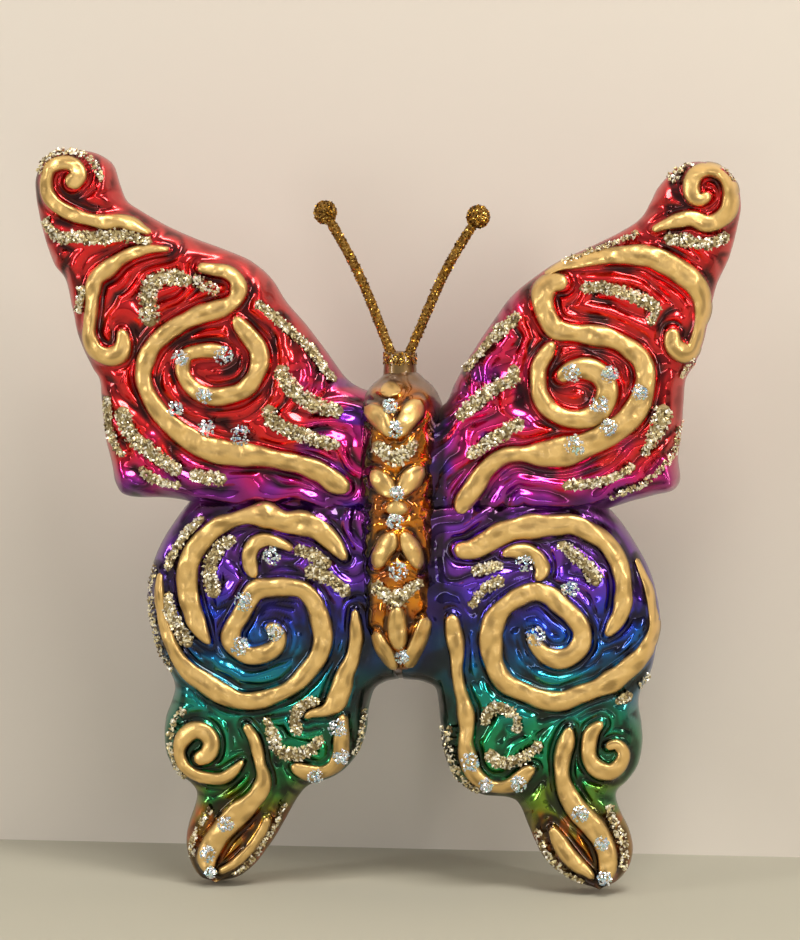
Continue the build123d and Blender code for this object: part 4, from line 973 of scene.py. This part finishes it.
def forewing_lacquer(columns, rows, seed):
    """Red at the tip, magenta and then purple towards the body and the lower edge."""
    drift = waves(columns, rows, 45, seed) * 16
    inner = np.abs(columns - AXIS_COLUMN) + drift
    inner = inner + 25 * (columns < AXIS_COLUMN)
    magenta = np.maximum(smooth_step(145, 60, inner), smooth_step(440, 480, rows + drift))
    purple = np.maximum(smooth_step(70, 25, inner) * smooth_step(360, 430, rows),
                        smooth_step(472, 505, rows + 0.6 * drift))
    violet = smooth_step(0.2, 0.7, waves(columns * 0.6, rows, 34, seed + 9))
    violet = violet * smooth_step(140, 80, inner) * smooth_step(345, 400, rows)
    color = blend_colors(FOREWING_RED, FOREWING_MAGENTA, magenta)
    color = blend_colors(color, FOREWING_PURPLE, purple * 0.9)
    return blend_colors(color, FOREWING_VIOLET, violet * 0.8)


def hindwing_lacquer(columns, rows, seed):
    """Purple, blue, teal, green and olive from the top down, with a wandering border."""
    drift = waves(columns, rows, 40, seed) * 13
    color = np.stack([np.interp(rows + drift, HINDWING_ROWS, c) for c in HINDWING_COLORS.T],
                     axis=-1)
    ember = smooth_step(-0.1, 0.5, waves(columns * 2, rows, 26, seed + 9))
    return blend_colors(color, HINDWING_EMBER, ember * smooth_step(806, 820, rows) * 0.85)


# %% [markdown]
# The spine lines are chosen down the middle of each wing, so that no two lines across cross.
# After the shape come the masks: painted shade in the grooves, beside the gold and at the roots
# beside the body, a dark line along the rim, and a rough rim paled by a painted reflection.

# %% Build the four wings
FOREWING_DEPTHS = (0.0082, 0.0048)
HINDWING_DEPTHS = (0.0084, 0.0038)
WINGS = {
    "left_forewing": (((397, 455), (300, 420), (205, 345), (120, 245), (72, 190), (56, 172)),
                      FOREWING_DEPTHS, forewing_lacquer, 11),
    "right_forewing": (((407, 465), (500, 425), (590, 345), (655, 250), (703, 195), (716, 180)),
                       FOREWING_DEPTHS, forewing_lacquer, 23),
    "left_hindwing": (((399, 586), (320, 600), (255, 645), (235, 730), (228, 800), (216, 872)),
                      HINDWING_DEPTHS, hindwing_lacquer, 37),
    "right_hindwing": (((405, 586), (485, 600), (550, 645), (573, 730), (582, 800), (601, 872)),
                       HINDWING_DEPTHS, hindwing_lacquer, 53),
}
# The pale grey-pink of a painted reflection on the rims
RIM_PAINTED_REFLECTION = srgb(0.58, 0.48, 0.46) * 0.26


def wing_shape(name):
    """A wing's piece, its grid moved by the relief in front and by fine wrinkles elsewhere."""
    spine, depths, _, seed = WINGS[name]
    grid = wing_grid(OUTLINES[name], TIPS[name], spine, *depths)
    steps = RIM_STEPS + FRONT_STEPS
    ring = np.r_[np.arange(steps + 1), np.arange(steps)[::-1]]
    facing = np.zeros(grid.shape[1])
    facing[:len(ring)] = smooth_step(0.18, 0.75, ring / RIM_STEPS)
    columns, rows = seen_pixels(grid)
    lift, _ = relief(columns, rows, gold_on(name), seed)
    body_fade = smooth_step(26, 60, np.abs(columns - AXIS_COLUMN))
    grid[..., 1] -= lift * facing * (0.3 + 0.7 * body_fade)
    grid[..., 1] -= waves(columns, rows, 22, seed + 5) * 0.12 * MM * (1 - facing)
    return ring_piece(f"{name}_glass", grid, lacquered_glass)


def gold_on(name):
    """All the gold strips of a wing."""
    return [strip for node, strips in GOLD.items() if node.startswith(name) for strip in strips]


def paint_wing(wing, name):
    """A wing's lacquer, painted shade, painted reflection and rim roughness, per vertex.

    The dark layer is the darkest of four masks: painted shade in the relief's grooves, beside the
    gold and at the root beside the body, and a dark line inside the outline. The rim is rougher and
    paled by a painted reflection.
    """
    _, _, lacquer, seed = WINGS[name]
    places = vertices_of(wing)
    columns, rows = seen_pixels(places)
    ahead = MIDDLE_Y - places[:, 1]
    color = lacquer(columns, rows, seed + 3)
    lift, gap = relief(columns, rows, gold_on(name), seed)
    patchy = smooth_step(-0.5, 0.5, waves(columns, rows, 42, seed + 6))
    least, gold_shade_share = (0.4, 0.5) if "fore" in name else (0.75, 1.0)
    # Painted shade: darker in the relief's grooves, beside the gold and at the root by the body
    groove = smooth_step(0.02 * MM, -0.42 * MM, lift) * (least + (1 - least) * patchy)
    gold_shade = smooth_step(1.6, 0.6, gap) * smooth_step(-0.4, 0.4, waves(columns, rows, 26, seed + 7))
    edge = [[(c, r, 0) for c, r in OUTLINES[name]]]
    inset = -strip_gap(AXIS_COLUMN + places[:, 0] / PIXEL, GRIP_ROW - places[:, 2] / PIXEL, edge)
    line = bell(-14, 3.5, inset) * (0.35 + 0.65 * patchy)
    beside = np.abs(columns - AXIS_COLUMN) - (8 if "right" in name else 0)
    root = np.maximum(smooth_step(39, 32, beside),
                      smooth_step(58, 42, beside) * smooth_step(560, 610, rows))
    dark = np.maximum.reduce([groove, gold_shade * gold_shade_share, line, root * (0.85 + 0.15 * patchy)])
    rim = np.maximum(1 - smooth_step(1.2 * MM, 3.8 * MM, ahead), smooth_step(-13, -9, inset))
    # Painted reflection: on the rim the lacquer is halved and a pale grey-pink is added
    paint(wing, "Lacquer", blend_colors(color, color * 0.5 + RIM_PAINTED_REFLECTION, rim * 0.85))
    # The painted shade, faded out towards the rims
    paint(wing, "PaintedShade", dark * smooth_step(0.5 * MM, 3.5 * MM, ahead) * 0.94)
    paint(wing, "Dust", rim * 0.6)


shell_pieces = []
for name in WINGS:
    wing = wing_shape(name)
    paint_wing(wing, name)
    shell_pieces.append(wing)
    print(name, len(wing.data.vertices), "vertices")

# %% [markdown]
# ## The body, the head stub and the rear pike
#
# The body is a finger of glass with crumpled amber lacquer. It is a stack of rings: at each height
# a front and a back half ellipse. The stub on the head is a short tube, and so is the pike behind.

# %% Body and tubes
BODY_FRONT = 0.0142
BODY_BACK = 0.0094
TOP_SECTION, LOW_SECTION = (366, 3, 0.05, 0.05), (679, 3, 0.08, 0.08)
BODY_SWELL = 0.35
BODY_GROOVE, BODY_GROOVE_GAP, BODY_GROOVE_WIDTH = 0.55, 0.7, 0.55
CRUMPLE, SMALL_CRUMPLE = 0.30, 0.16
FLANK_FOLD = 0.00018


def body_grid(levels=220, around=200):
    """Rings of points: x = half cos a |cos a|^-0.15 and y = -depth sin a, level by level."""
    table = np.array([TOP_SECTION, *BODY_SECTIONS, LOW_SECTION], float)
    line = smooth_line(table, levels)
    turn = round_turn(around)
    half = np.maximum(line[:, 1:2], 0.5) * PIXEL
    front, back = line[:, 2:3] * BODY_FRONT, line[:, 3:4] * BODY_BACK
    x = half * np.sign(np.cos(turn)) * np.abs(np.cos(turn)) ** 0.85
    y = -np.where(np.sin(turn) > 0, front, back) * np.sin(turn)
    z = np.broadcast_to((GRIP_ROW - line[:, 0:1]) * PIXEL, x.shape)
    return np.stack([x, y + MIDDLE_Y, z], axis=-1), turn


def body_relief(columns, rows):
    """Crumples across the body, a swell under each petal and a groove beside it, in metres."""
    gap = strip_gap(columns, rows, GOLD["body_gold_petals"]) * PIXEL / MM
    crumple = CRUMPLE * waves(columns * 0.7, rows * 1.6, 24, 71)
    crumple = crumple + SMALL_CRUMPLE * waves(columns, rows, 11, 72)
    groove = -BODY_GROOVE * bell(BODY_GROOVE_GAP, BODY_GROOVE_WIDTH, gap)
    return (BODY_SWELL * smooth_step(0.5, -0.2, gap) + groove + crumple) * MM


grid, turn = body_grid()
columns, rows = seen_pixels(grid)
lift = body_relief(columns, rows)
facing = smooth_step(0.15, 0.6, np.sin(turn))[None, :]
ends = smooth_step(0, 0.05, np.linspace(0, 1, len(grid)))[:, None]
ends = ends * ends[::-1]
grid[..., 1] -= lift * facing * ends
folds = np.sin(columns * 0.9 + 0.6 * np.sin(rows * 0.05)) * FLANK_FOLD
calm = smooth_step(0.1, 0.3, np.linspace(0, 1, len(grid)))[:, None]
grid[..., 0] += folds * np.sign(np.cos(turn))[None, :] * (1 - facing) * calm * calm[::-1]
body_glass = ring_piece("body_glass", with_poles(grid), lacquered_glass)
places = vertices_of(body_glass)
columns, rows = seen_pixels(places)
lift = body_relief(columns, rows)
amber = blend_colors(srgb(0.95, 0.60, 0.10), srgb(0.66, 0.34, 0.05),
                     smooth_step(0, 1, 0.5 + 0.5 * waves(columns, rows, 30, 74)))
flank = 1 - smooth_step(0.004, 0.0095, MIDDLE_Y - places[:, 1])
streaks = smooth_step(-0.2, 0.7, waves(columns * 3.0, rows * 0.35, 30, 75))
sides = np.maximum(smooth_step(377, 369, columns), smooth_step(427, 436, columns))
sides = np.maximum(sides, flank)
brown = blend_colors(srgb(0.16, 0.10, 0.08), srgb(0.46, 0.34, 0.25), streaks * 0.8)
brown = blend_colors(brown, srgb(0.52, 0.42, 0.33), smooth_step(404, 388, rows))
paint(body_glass, "Lacquer", blend_colors(amber, brown, sides * 0.95))
# Painted shade: darker in the grooves of the crumples and beside the petals, and down the left
# flank
groove = smooth_step(-0.2 * MM, -0.6 * MM, lift) * (1 - flank)
left_flank_shade = smooth_step(410, 450, rows) * smooth_step(376, 370, columns)
left_flank_shade = left_flank_shade * smooth_step(640, 600, rows)
paint(body_glass, "PaintedShade", np.maximum(groove, left_flank_shade) * 0.9)
paint(body_glass, "Dust", flank * 0.5)
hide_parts("glass_shell")


def tube_grid(start, end, radii, around=64):
    """A straight round bar between two points, with a (share of the way, radius) at each step."""
    start, end = np.asarray(start, float), np.asarray(end, float)
    along = (end - start) / np.linalg.norm(end - start)
    side = np.cross(along, (0.3, 0.9, 0.2))
    side /= np.linalg.norm(side)
    other = np.cross(along, side)
    turn = round_turn(around)[:, None]
    ring = np.cos(turn) * side + np.sin(turn) * other
    share, radius = np.array(radii, float).T[:, :, None, None]
    return start + (end - start) * share + ring[None] * radius


def plain_paint(piece, color, dust):
    """One lacquer all over, for small glass forms."""
    count = len(piece.data.vertices)
    paint(piece, "Lacquer", np.tile(color, (count, 1)))
    paint(piece, "PaintedShade", np.zeros(count))
    paint(piece, "Dust", np.full(count, dust))


STUB_RADIUS = 0.0031
stub_foot, stub_top = plane_points(400, 384), plane_points(400, 351.5)
grid = tube_grid(stub_foot, stub_top, [
    (0, 0), (0, 0.0042), (0.12, 0.0036), (0.3, 0.0032), (0.6, STUB_RADIUS), (0.93, STUB_RADIUS),
    (1, 0.0028), (1, 0.0024), (0.9, 0)])
stub = ring_piece("head_stub_glass", grid, lacquered_glass)
plain_paint(stub, srgb(0.50, 0.40, 0.25), 0.7)

PIKE_RADIUS, PIKE_BORE, PIKE_PAST_BACK = 0.005, 0.0039, 0.007
pike_root = plane_points(402, 444)
pike_end = pike_root + np.array([0, BODY_BACK + PIKE_PAST_BACK, 0])
grid = tube_grid(pike_root, pike_end, [
    (0, 0), (0, PIKE_RADIUS), (1, PIKE_RADIUS), (1, PIKE_BORE), (0.5, PIKE_BORE), (0.5, 0)])
pike = ring_piece("rear_pike_glass", grid, lacquered_glass)
plain_paint(pike, srgb(0.75, 0.7, 0.66), 0.2)
shell_pieces += [body_glass, stub]

# %% [markdown]
# ## Finding the glass under a pixel
#
# What is laid on the front has to sit on the glass. A ray along the camera's line of sight finds
# the glass under each pixel. The wings, the body and the stub are gathered in one tree of faces for
# that.

# %% A seat on the glass
all_points, all_faces, offset = [], [], 0
for piece in shell_pieces:
    places = vertices_of(piece)
    loops = np.empty(len(piece.data.loops), np.int32)
    piece.data.loops.foreach_get("vertex_index", loops)
    sizes = np.empty(len(piece.data.polygons), np.int32)
    piece.data.polygons.foreach_get("loop_total", sizes)
    all_faces += [tuple(f) for f in np.split(loops + offset, np.cumsum(sizes)[:-1])]
    all_points.append(places)
    offset += len(places)
glass_tree = BVHTree.FromPolygons(np.vstack(all_points).tolist(), all_faces)
sight = Vector(SIGHT)
RAY_LEAD = 0.03


def seats(columns, rows):
    """Points and normals of the glass along the line of sight; a miss falls to the middle plane."""
    columns, rows = np.broadcast_arrays(np.asarray(columns, float), np.asarray(rows, float))
    starts = plane_points(columns, rows).reshape(-1, 3)
    origins = starts + SIGHT * RAY_LEAD
    hits = [glass_tree.ray_cast(Vector(o), -sight) for o in origins]
    points = np.array([h[0] if h[0] else s for h, s in zip(hits, starts)])
    normals = np.array([h[1] if h[0] else (0, -1, 0) for h in hits])
    normals *= np.where(normals[:, 1:2] > 0, -1, 1)
    return points.reshape(*columns.shape, 3), normals.reshape(*columns.shape, 3)


# %% [markdown]
# ## The gold scrolls
#
# Each scroll is a strip of thick paint: a low rounded bead that swells and narrows with the brush,
# with rounded ends. Its section is a flattened arch carried along the smooth line through its
# points. The edges sink into the glass so that no gap shows.

# %% A bead of paint along a line
ARCH = np.linspace(-1, 1, 13)
BEAD_STEP = 2.6
LEAST_WIDTH = 3.0
END_SHARE = 0.35
SINK = 0.00022
BASE_ROOM = 0.25
FLOOR_DEPTH = 0.5
LUMPS, LONG_LUMPS = 0.16, 0.24


def bead_grid(strip, rise, swell, extra, seed):
    """An arch (1 - s^6)^0.5 across the strip, laid on the seats, with round ends and a floor."""
    strip = np.asarray(strip, float)
    ends = strip[[0, -1]]
    for end, near, place in zip(ends, strip[[0, -1]], strip[[1, -2]]):
        end[:2] += (near - place)[:2] / math.dist(near[:2], place[:2]) * near[2] * END_SHARE
    strip = np.vstack([ends[:1], strip, ends[1:]])
    length = steps_of(strip).sum()
    count = int(max(14, length / BEAD_STEP))
    line = smooth_line(strip, count)
    way = headings(line[:, :2])
    run = np.linspace(0, length, count)
    half = (np.maximum(line[:, 2], LEAST_WIDTH) + extra) / 2
    taper = np.minimum(run, length - run) / np.maximum(half, 2)
    taper = np.sqrt(np.clip(1 - (1 - np.clip(taper, 0, 1)) ** 2, 0, 1))
    uneven = 1 + swell * waves(run, run * 0, 30, seed)
    half = half * np.maximum(taper, 0.05) * uneven
    columns = line[:, 0:1] - ARCH[None] * half[:, None] * way[:, 1:2]
    rows = line[:, 1:2] + ARCH[None] * half[:, None] * way[:, 0:1]
    floor, normals = seats(columns, rows)
    middle = floor[:, 4:9].mean(1, keepdims=True)
    share = (ARCH ** 2)[None, :, None]
    left, right = floor[:, :1], floor[:, -1:]
    chord = left + (right - left) * ((ARCH + 1) / 2)[None, :, None]
    base = chord + (middle - (left + right) / 2) * (1 - share)
    base[..., 1] = np.minimum(base[..., 1], floor[..., 1] + BASE_ROOM * MM)
    arch = (np.clip(1 - ARCH ** 6, 0, 1) ** 0.5)[None]
    height = rise * np.minimum(1, half * PIXEL / rise)[:, None] * arch
    height = height * np.maximum(taper, 0.05)[:, None]
    lumps = (waves(columns, rows, 12, seed + 1) * LUMPS
             + waves(columns, rows, 28, seed + 2) * LONG_LUMPS)
    height = height * (1 + lumps)
    top = base.copy()
    top[..., 1] -= height - SINK * (ARCH ** 8)[None]
    bottom = chord[:, -2:0:-1].copy()
    bottom[..., 1] = np.maximum(floor[:, -2:0:-1, 1], bottom[..., 1]) + FLOOR_DEPTH * MM
    return with_poles(np.concatenate([top, bottom], axis=1))


def bead_piece(name, strips, rise, swell, extra, material, seed, nodes=()):
    """One mesh of several beads, with a mask that darkens their edges and the brush's streaks."""
    points, faces, edges, start = [], [], [], 0
    for index, strip in enumerate(strips):
        grid = bead_grid(strip, rise, swell, extra, seed + 7 * index)
        faces.append(ring_faces(grid) + start)
        points.append(grid.reshape(-1, 3))
        mask = np.r_[np.abs(ARCH) ** 5, np.ones(len(ARCH) - 2)]
        along, across = np.broadcast_arrays(np.arange(len(grid))[:, None] * BEAD_STEP,
                                            np.r_[ARCH, ARCH[1:-1]][None] * 16)
        streak = smooth_step(0.1, 1.0, waves(along * 0.5, across, 15, seed + index)) * 0.55
        edges.append(np.maximum(mask, streak).ravel())
        start += grid.shape[0] * grid.shape[1]
    piece = new_piece(name, np.vstack(points), np.vstack(faces), material, weld=False)
    paint(piece, "Edge", np.concatenate(edges))
    weld_and_turn(piece)
    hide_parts(*nodes)
    return piece


# %% Lay the gold
GOLD_RISE = 0.0008
GOLD_SPREAD = 2.4
PETAL_SPREAD = 5.0
for index, (name, strips) in enumerate(GOLD.items()):
    extra = PETAL_SPREAD if name.startswith("body") else GOLD_SPREAD
    bead_piece(f"{name}_gold", strips, GOLD_RISE, 0.07, extra, satin_gold,
               100 + 20 * index, [name])
print("gold strips", sum(len(strips) for strips in GOLD.values()))

# %% [markdown]
# ## Glitter and crystals
#
# Real glitter is cut from foil: flat flakes that lie every way in a bead of glue. One flattened
# octahedron of eight faces is copied thousands of times with its own turn, size and tint, all as
# arrays.

# %% Flakes
FLAKE = np.array([(1, 0, 0), (0, 0.75, 0), (-1, 0, 0), (0, -0.75, 0),
                  (0, 0, 0.35), (0, 0, -0.35)])
FLAKE_FACES = np.array([(0, 1, 4), (1, 2, 4), (2, 3, 4), (3, 0, 4),
                        (1, 0, 5), (2, 1, 5), (3, 2, 5), (0, 3, 5)])


def flake_piece(name, centres, normals, sizes, tilt, palette, material, seed, nodes=()):
    """Many flakes in one mesh: a flake's axes are its normal, tilted at random, and two across."""
    chance = np.random.default_rng(seed)
    count = len(centres)
    up = normals + chance.normal(0, tilt, (count, 3))
    up /= np.linalg.norm(up, axis=1, keepdims=True)
    side = np.cross(up, chance.normal(0, 1, (count, 3)))
    side /= np.linalg.norm(side, axis=1, keepdims=True)
    other = np.cross(up, side)
    shape = FLAKE @ np.stack([side, other, up], axis=1)
    points = centres[:, None] + shape * sizes[:, None, None]
    faces = FLAKE_FACES[None] + len(FLAKE) * np.arange(count)[:, None, None]
    piece = new_piece(name, points, faces.reshape(-1, 3), material, smooth=False,
                      weld=False)
    tint = np.asarray(palette)[chance.integers(0, len(palette), count)]
    paint(piece, "Tint", np.repeat(tint, len(FLAKE), axis=0))
    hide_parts(*nodes)
    return piece


STREWN_HALF = 0.6


def strewn(strips, per_pixel, seed):
    """Random places on strips, along and across: their columns, rows and shares of the rise."""
    chance = np.random.default_rng(seed)
    found = []
    for strip in strips:
        line = smooth_line(strip, 120)
        width = np.maximum(line[:, 2], LEAST_WIDTH) * 1.15
        count = int(steps_of(line).sum() * width.mean() * per_pixel)
        index = chance.integers(1, 119, count)
        across = chance.uniform(-STREWN_HALF, STREWN_HALF, count)
        way = headings(line[:, :2])
        c = line[index, 0] - across * width[index] * way[index, 1]
        r = line[index, 1] + across * width[index] * way[index, 0]
        found.append(np.stack([c, r, np.sqrt(1 - (across / STREWN_HALF) ** 2)], axis=-1))
    return np.vstack(found)


PALE_TINTS = [srgb(*c) for c in ((0.96, 0.93, 0.80), (0.88, 0.82, 0.62), (0.99, 0.98, 0.93),
                                 (0.70, 0.63, 0.45), (0.94, 0.91, 0.82), (0.42, 0.35, 0.24))]
GLITTER_RISE = 0.0008
GLUE_SPREAD = 1.5
FLAKES_PER_PIXEL = 0.34
FLAKE_SPREAD = 0.3
FLAKE_SIZES = (0.00026, 0.00058)
for index, (name, strips) in enumerate(GLITTER.items()):
    bead_piece(f"{name}_glitter_glue", strips, GLITTER_RISE, 0.12, GLUE_SPREAD, pale_glue,
               500 + 30 * index, [f"{name}_surface_glitter"])
    spots = strewn([*strips, *RIM_LINES[name]], FLAKES_PER_PIXEL, 600 + index)
    points, normals = seats(spots[:, 0], spots[:, 1])
    points[:, 1] -= spots[:, 2] * GLITTER_RISE
    chance = np.random.default_rng(700 + index)
    points[:, 1] -= chance.uniform(0, FLAKE_SPREAD * MM, len(points))
    sizes = chance.uniform(*FLAKE_SIZES, len(points))
    flake_piece(f"{name}_glitter_flakes", points, normals, sizes, 0.7, PALE_TINTS, glitter_metal,
                800 + index)
    print(name, len(points), "flakes")

# %% Crystal dots
COOL_TINTS = [srgb(*c) for c in ((0.96, 0.98, 0.99), (0.82, 0.90, 0.95), (0.66, 0.80, 0.92),
                                 (0.92, 0.90, 0.94), (0.98, 0.99, 0.99), (0.78, 0.93, 0.90))]
PER_DOT = 64
DOT_SPREAD = 1.2
CRYSTAL_SIZES = (0.00022, 0.00044)
for index, (name, dots) in enumerate(CRYSTALS.items()):
    dots = np.asarray(dots, float)
    chance = np.random.default_rng(900 + index)
    turn = chance.uniform(0, 2 * math.pi, (len(dots), PER_DOT))
    out = np.sqrt(chance.uniform(0, 1, turn.shape)) * DOT_SPREAD
    columns = dots[:, 0:1] + np.cos(turn) * out * dots[:, 2:3]
    rows = dots[:, 1:2] + np.sin(turn) * out * dots[:, 2:3]
    middle, _ = seats(dots[:, 0], dots[:, 1])
    heap = 0.9 + 0.7 * np.sqrt(np.clip(1.5 - out ** 2, 0, 1))
    ahead = MIDDLE_Y - middle[:, None, 1] + heap * MM
    points = plane_points(columns, rows) + SIGHT * ahead[..., None]
    up = np.stack([np.cos(turn) * out * 0.7, -np.ones_like(turn), -np.sin(turn) * out * 0.7], -1)
    sizes = chance.uniform(*CRYSTAL_SIZES, turn.size)
    flake_piece(f"{name}_crystal_flakes", points.reshape(-1, 3), up.reshape(-1, 3), sizes, 0.35,
                COOL_TINTS, crystal_flake, 950 + index,
                [f"{name}_surface_crystals"])

# %% [markdown]
# ## The antennae
#
# Each antenna is a wire dipped in glue and dark gold glitter, with a bead on its end. The coat is
# a lumpy tube along the wire's curve, the bead a lumpy ball, and both carry flakes.

# %% Wires, coats and beads
STUB_TOP = (400, 352)
KNEE_ROW = STUB_TOP[1] + 1.9 * MM / PIXEL
KNEE_COLUMNS = 1.05 * MM / PIXEL
WIRES = {
    "left": ((STUB_TOP[0] - KNEE_COLUMNS, KNEE_ROW), (360, 275), (325, 213)),
    "right": ((STUB_TOP[0] + KNEE_COLUMNS, KNEE_ROW), (446, 268), (478, 217)),
}
BEND_SHARE = 0.45
COAT_PLACES, COAT_ROUND = 150, 28
COAT_RADIUS = 0.00086
BEAD_RADIUS = 0.0021
BEAD_RINGS, BEAD_ROUND = 33, 48
COAT_FLAKES, BEAD_FLAKES, STUB_FLAKES = 900, 420, 420
SMALL_FLAKES = (0.0002, 0.00036)
BEAD_FLAKE_REACH, BEAD_FLAKE_SIZES = 0.00215, (0.00022, 0.0004)
STUB_GLITTER = (0.62, 0.98)
DARK_TINTS = [srgb(*c) for c in ((0.80, 0.60, 0.22), (0.62, 0.44, 0.14), (0.93, 0.78, 0.42),
                                 (0.40, 0.26, 0.08), (0.30, 0.20, 0.08))]


def bent_line(points):
    """Two straight runs with a round bend between them, cut evenly along the way."""
    start, corner, end = (np.array(p, float) for p in points)
    room = BEND_SHARE * min(math.dist(start, corner), math.dist(corner, end))
    near = corner + (start - corner) / math.dist(start, corner) * room
    far = corner + (end - corner) / math.dist(end, corner) * room
    t = np.linspace(0, 1, 40)[:, None]
    bend = (1 - t) ** 2 * near + 2 * t * (1 - t) * corner + t ** 2 * far
    return evenly(np.vstack([start, bend, end]), COAT_PLACES)


def coat_grid(line, seed):
    """A tube round a line in the middle plane, its radius lumpy by waves, and the ways outwards."""
    points = plane_points(line[:, 0], line[:, 1])
    front = np.array([0.0, -1.0, 0.0])
    side = np.cross(headings(points), front)
    turn = round_turn(COAT_ROUND)
    ring = side[:, None] * np.cos(turn)[None, :, None] + front * np.sin(turn)[None, :, None]
    run, turn = np.broadcast_arrays(np.arange(len(line))[:, None] * 3.0, turn)
    size = COAT_RADIUS * (1 + 0.10 * waves(run, turn * 6, 6, seed))
    return points[:, None] + ring * size[..., None], ring


def lumpy_ball(seed):
    """Rings of a ball from pole to pole, its radius lumpy by waves."""
    lift = np.linspace(0, math.pi, BEAD_RINGS)[:, None]
    turn = round_turn(BEAD_ROUND)[None]
    ball = np.stack([np.sin(lift) * np.cos(turn), np.sin(lift) * np.sin(turn),
                     np.cos(lift) + 0 * turn], axis=-1)
    lumps = waves(ball[..., 0] * 30 + ball[..., 2] * 11, ball[..., 1] * 30, 9, seed)
    return ball * BEAD_RADIUS * (1 + 0.05 * lumps)[..., None]


for index, (side, wire) in enumerate(WIRES.items()):
    grid, ring = coat_grid(bent_line(wire), 300 + index)
    chance = np.random.default_rng(310 + index)
    picked = (chance.integers(2, COAT_PLACES - 2, COAT_FLAKES),
              chance.integers(0, COAT_ROUND, COAT_FLAKES))
    ring_piece(f"antenna_{side}_coat", with_poles(grid), antenna_glue)
    flake_piece(f"antenna_{side}_flakes", grid[picked], ring[picked],
                chance.uniform(*SMALL_FLAKES, COAT_FLAKES), 0.6, DARK_TINTS, dark_flake,
                320 + index, [f"antenna_coat_{side}"])
    tip = plane_points(*wire[-1])
    ring_piece(f"antenna_{side}_bead", tip + lumpy_ball(330 + index), antenna_glue)
    ways = chance.normal(0, 1, (BEAD_FLAKES, 3))
    ways /= np.linalg.norm(ways, axis=1, keepdims=True)
    flake_piece(f"antenna_{side}_bead_flakes", tip + ways * BEAD_FLAKE_REACH, ways,
                chance.uniform(*BEAD_FLAKE_SIZES, BEAD_FLAKES), 0.6, DARK_TINTS, dark_flake,
                340 + index, [f"antenna_bead_{side}"])

chance = np.random.default_rng(350)
turn = chance.uniform(0, 2 * math.pi, STUB_FLAKES)
height = chance.uniform(*STUB_GLITTER, STUB_FLAKES)
ways = np.stack([np.cos(turn), np.sin(turn), 0 * turn], axis=-1)
centres = stub_foot + (stub_top - stub_foot) * height[:, None] + ways * STUB_RADIUS
flake_piece("head_stub_flakes", centres, ways, chance.uniform(*SMALL_FLAKES, STUB_FLAKES), 0.5,
            DARK_TINTS, dark_flake, 351)

# %% [markdown]
# ## The clip
#
# The clip behind is plain pressed metal, and its solids are already right. They keep their meshes
# and get their finishes. The spring bends between the two leaves; here it is a plain copy of its
# mesh.

# %% Metal finishes on the CAD pieces
METAL = {
    "clip_fixed_leaf": tinplate, "clip_moving_leaf": tinplate, "clip_hinge_pin": spring_wire,
    "clip_ferrule": yellow_tin, "clip_staple": spring_wire, "clip_spring": spring_wire,
    "neck_plug": cork_brown, "antenna_wire_left": tinplate, "antenna_wire_right": tinplate,
}
for name, material in METAL.items():
    node = frame["nodes"][name]
    node.data.materials.clear()
    node.data.materials.append(material)

# %% Spring: its own copy, welded, in place of the part's spring
spring_rest = frame["nodes"]["clip_spring"]
spring = bpy.data.objects.new("clip_spring_wire", spring_rest.data.copy())
bpy.context.scene.collection.objects.link(spring)
weld_and_turn(spring)
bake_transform(spring)
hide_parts("clip_spring")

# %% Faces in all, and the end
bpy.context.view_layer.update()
total = sum(len(o.data.polygons) for o in bpy.data.objects if o.type == "MESH")
print("faces in all", total)
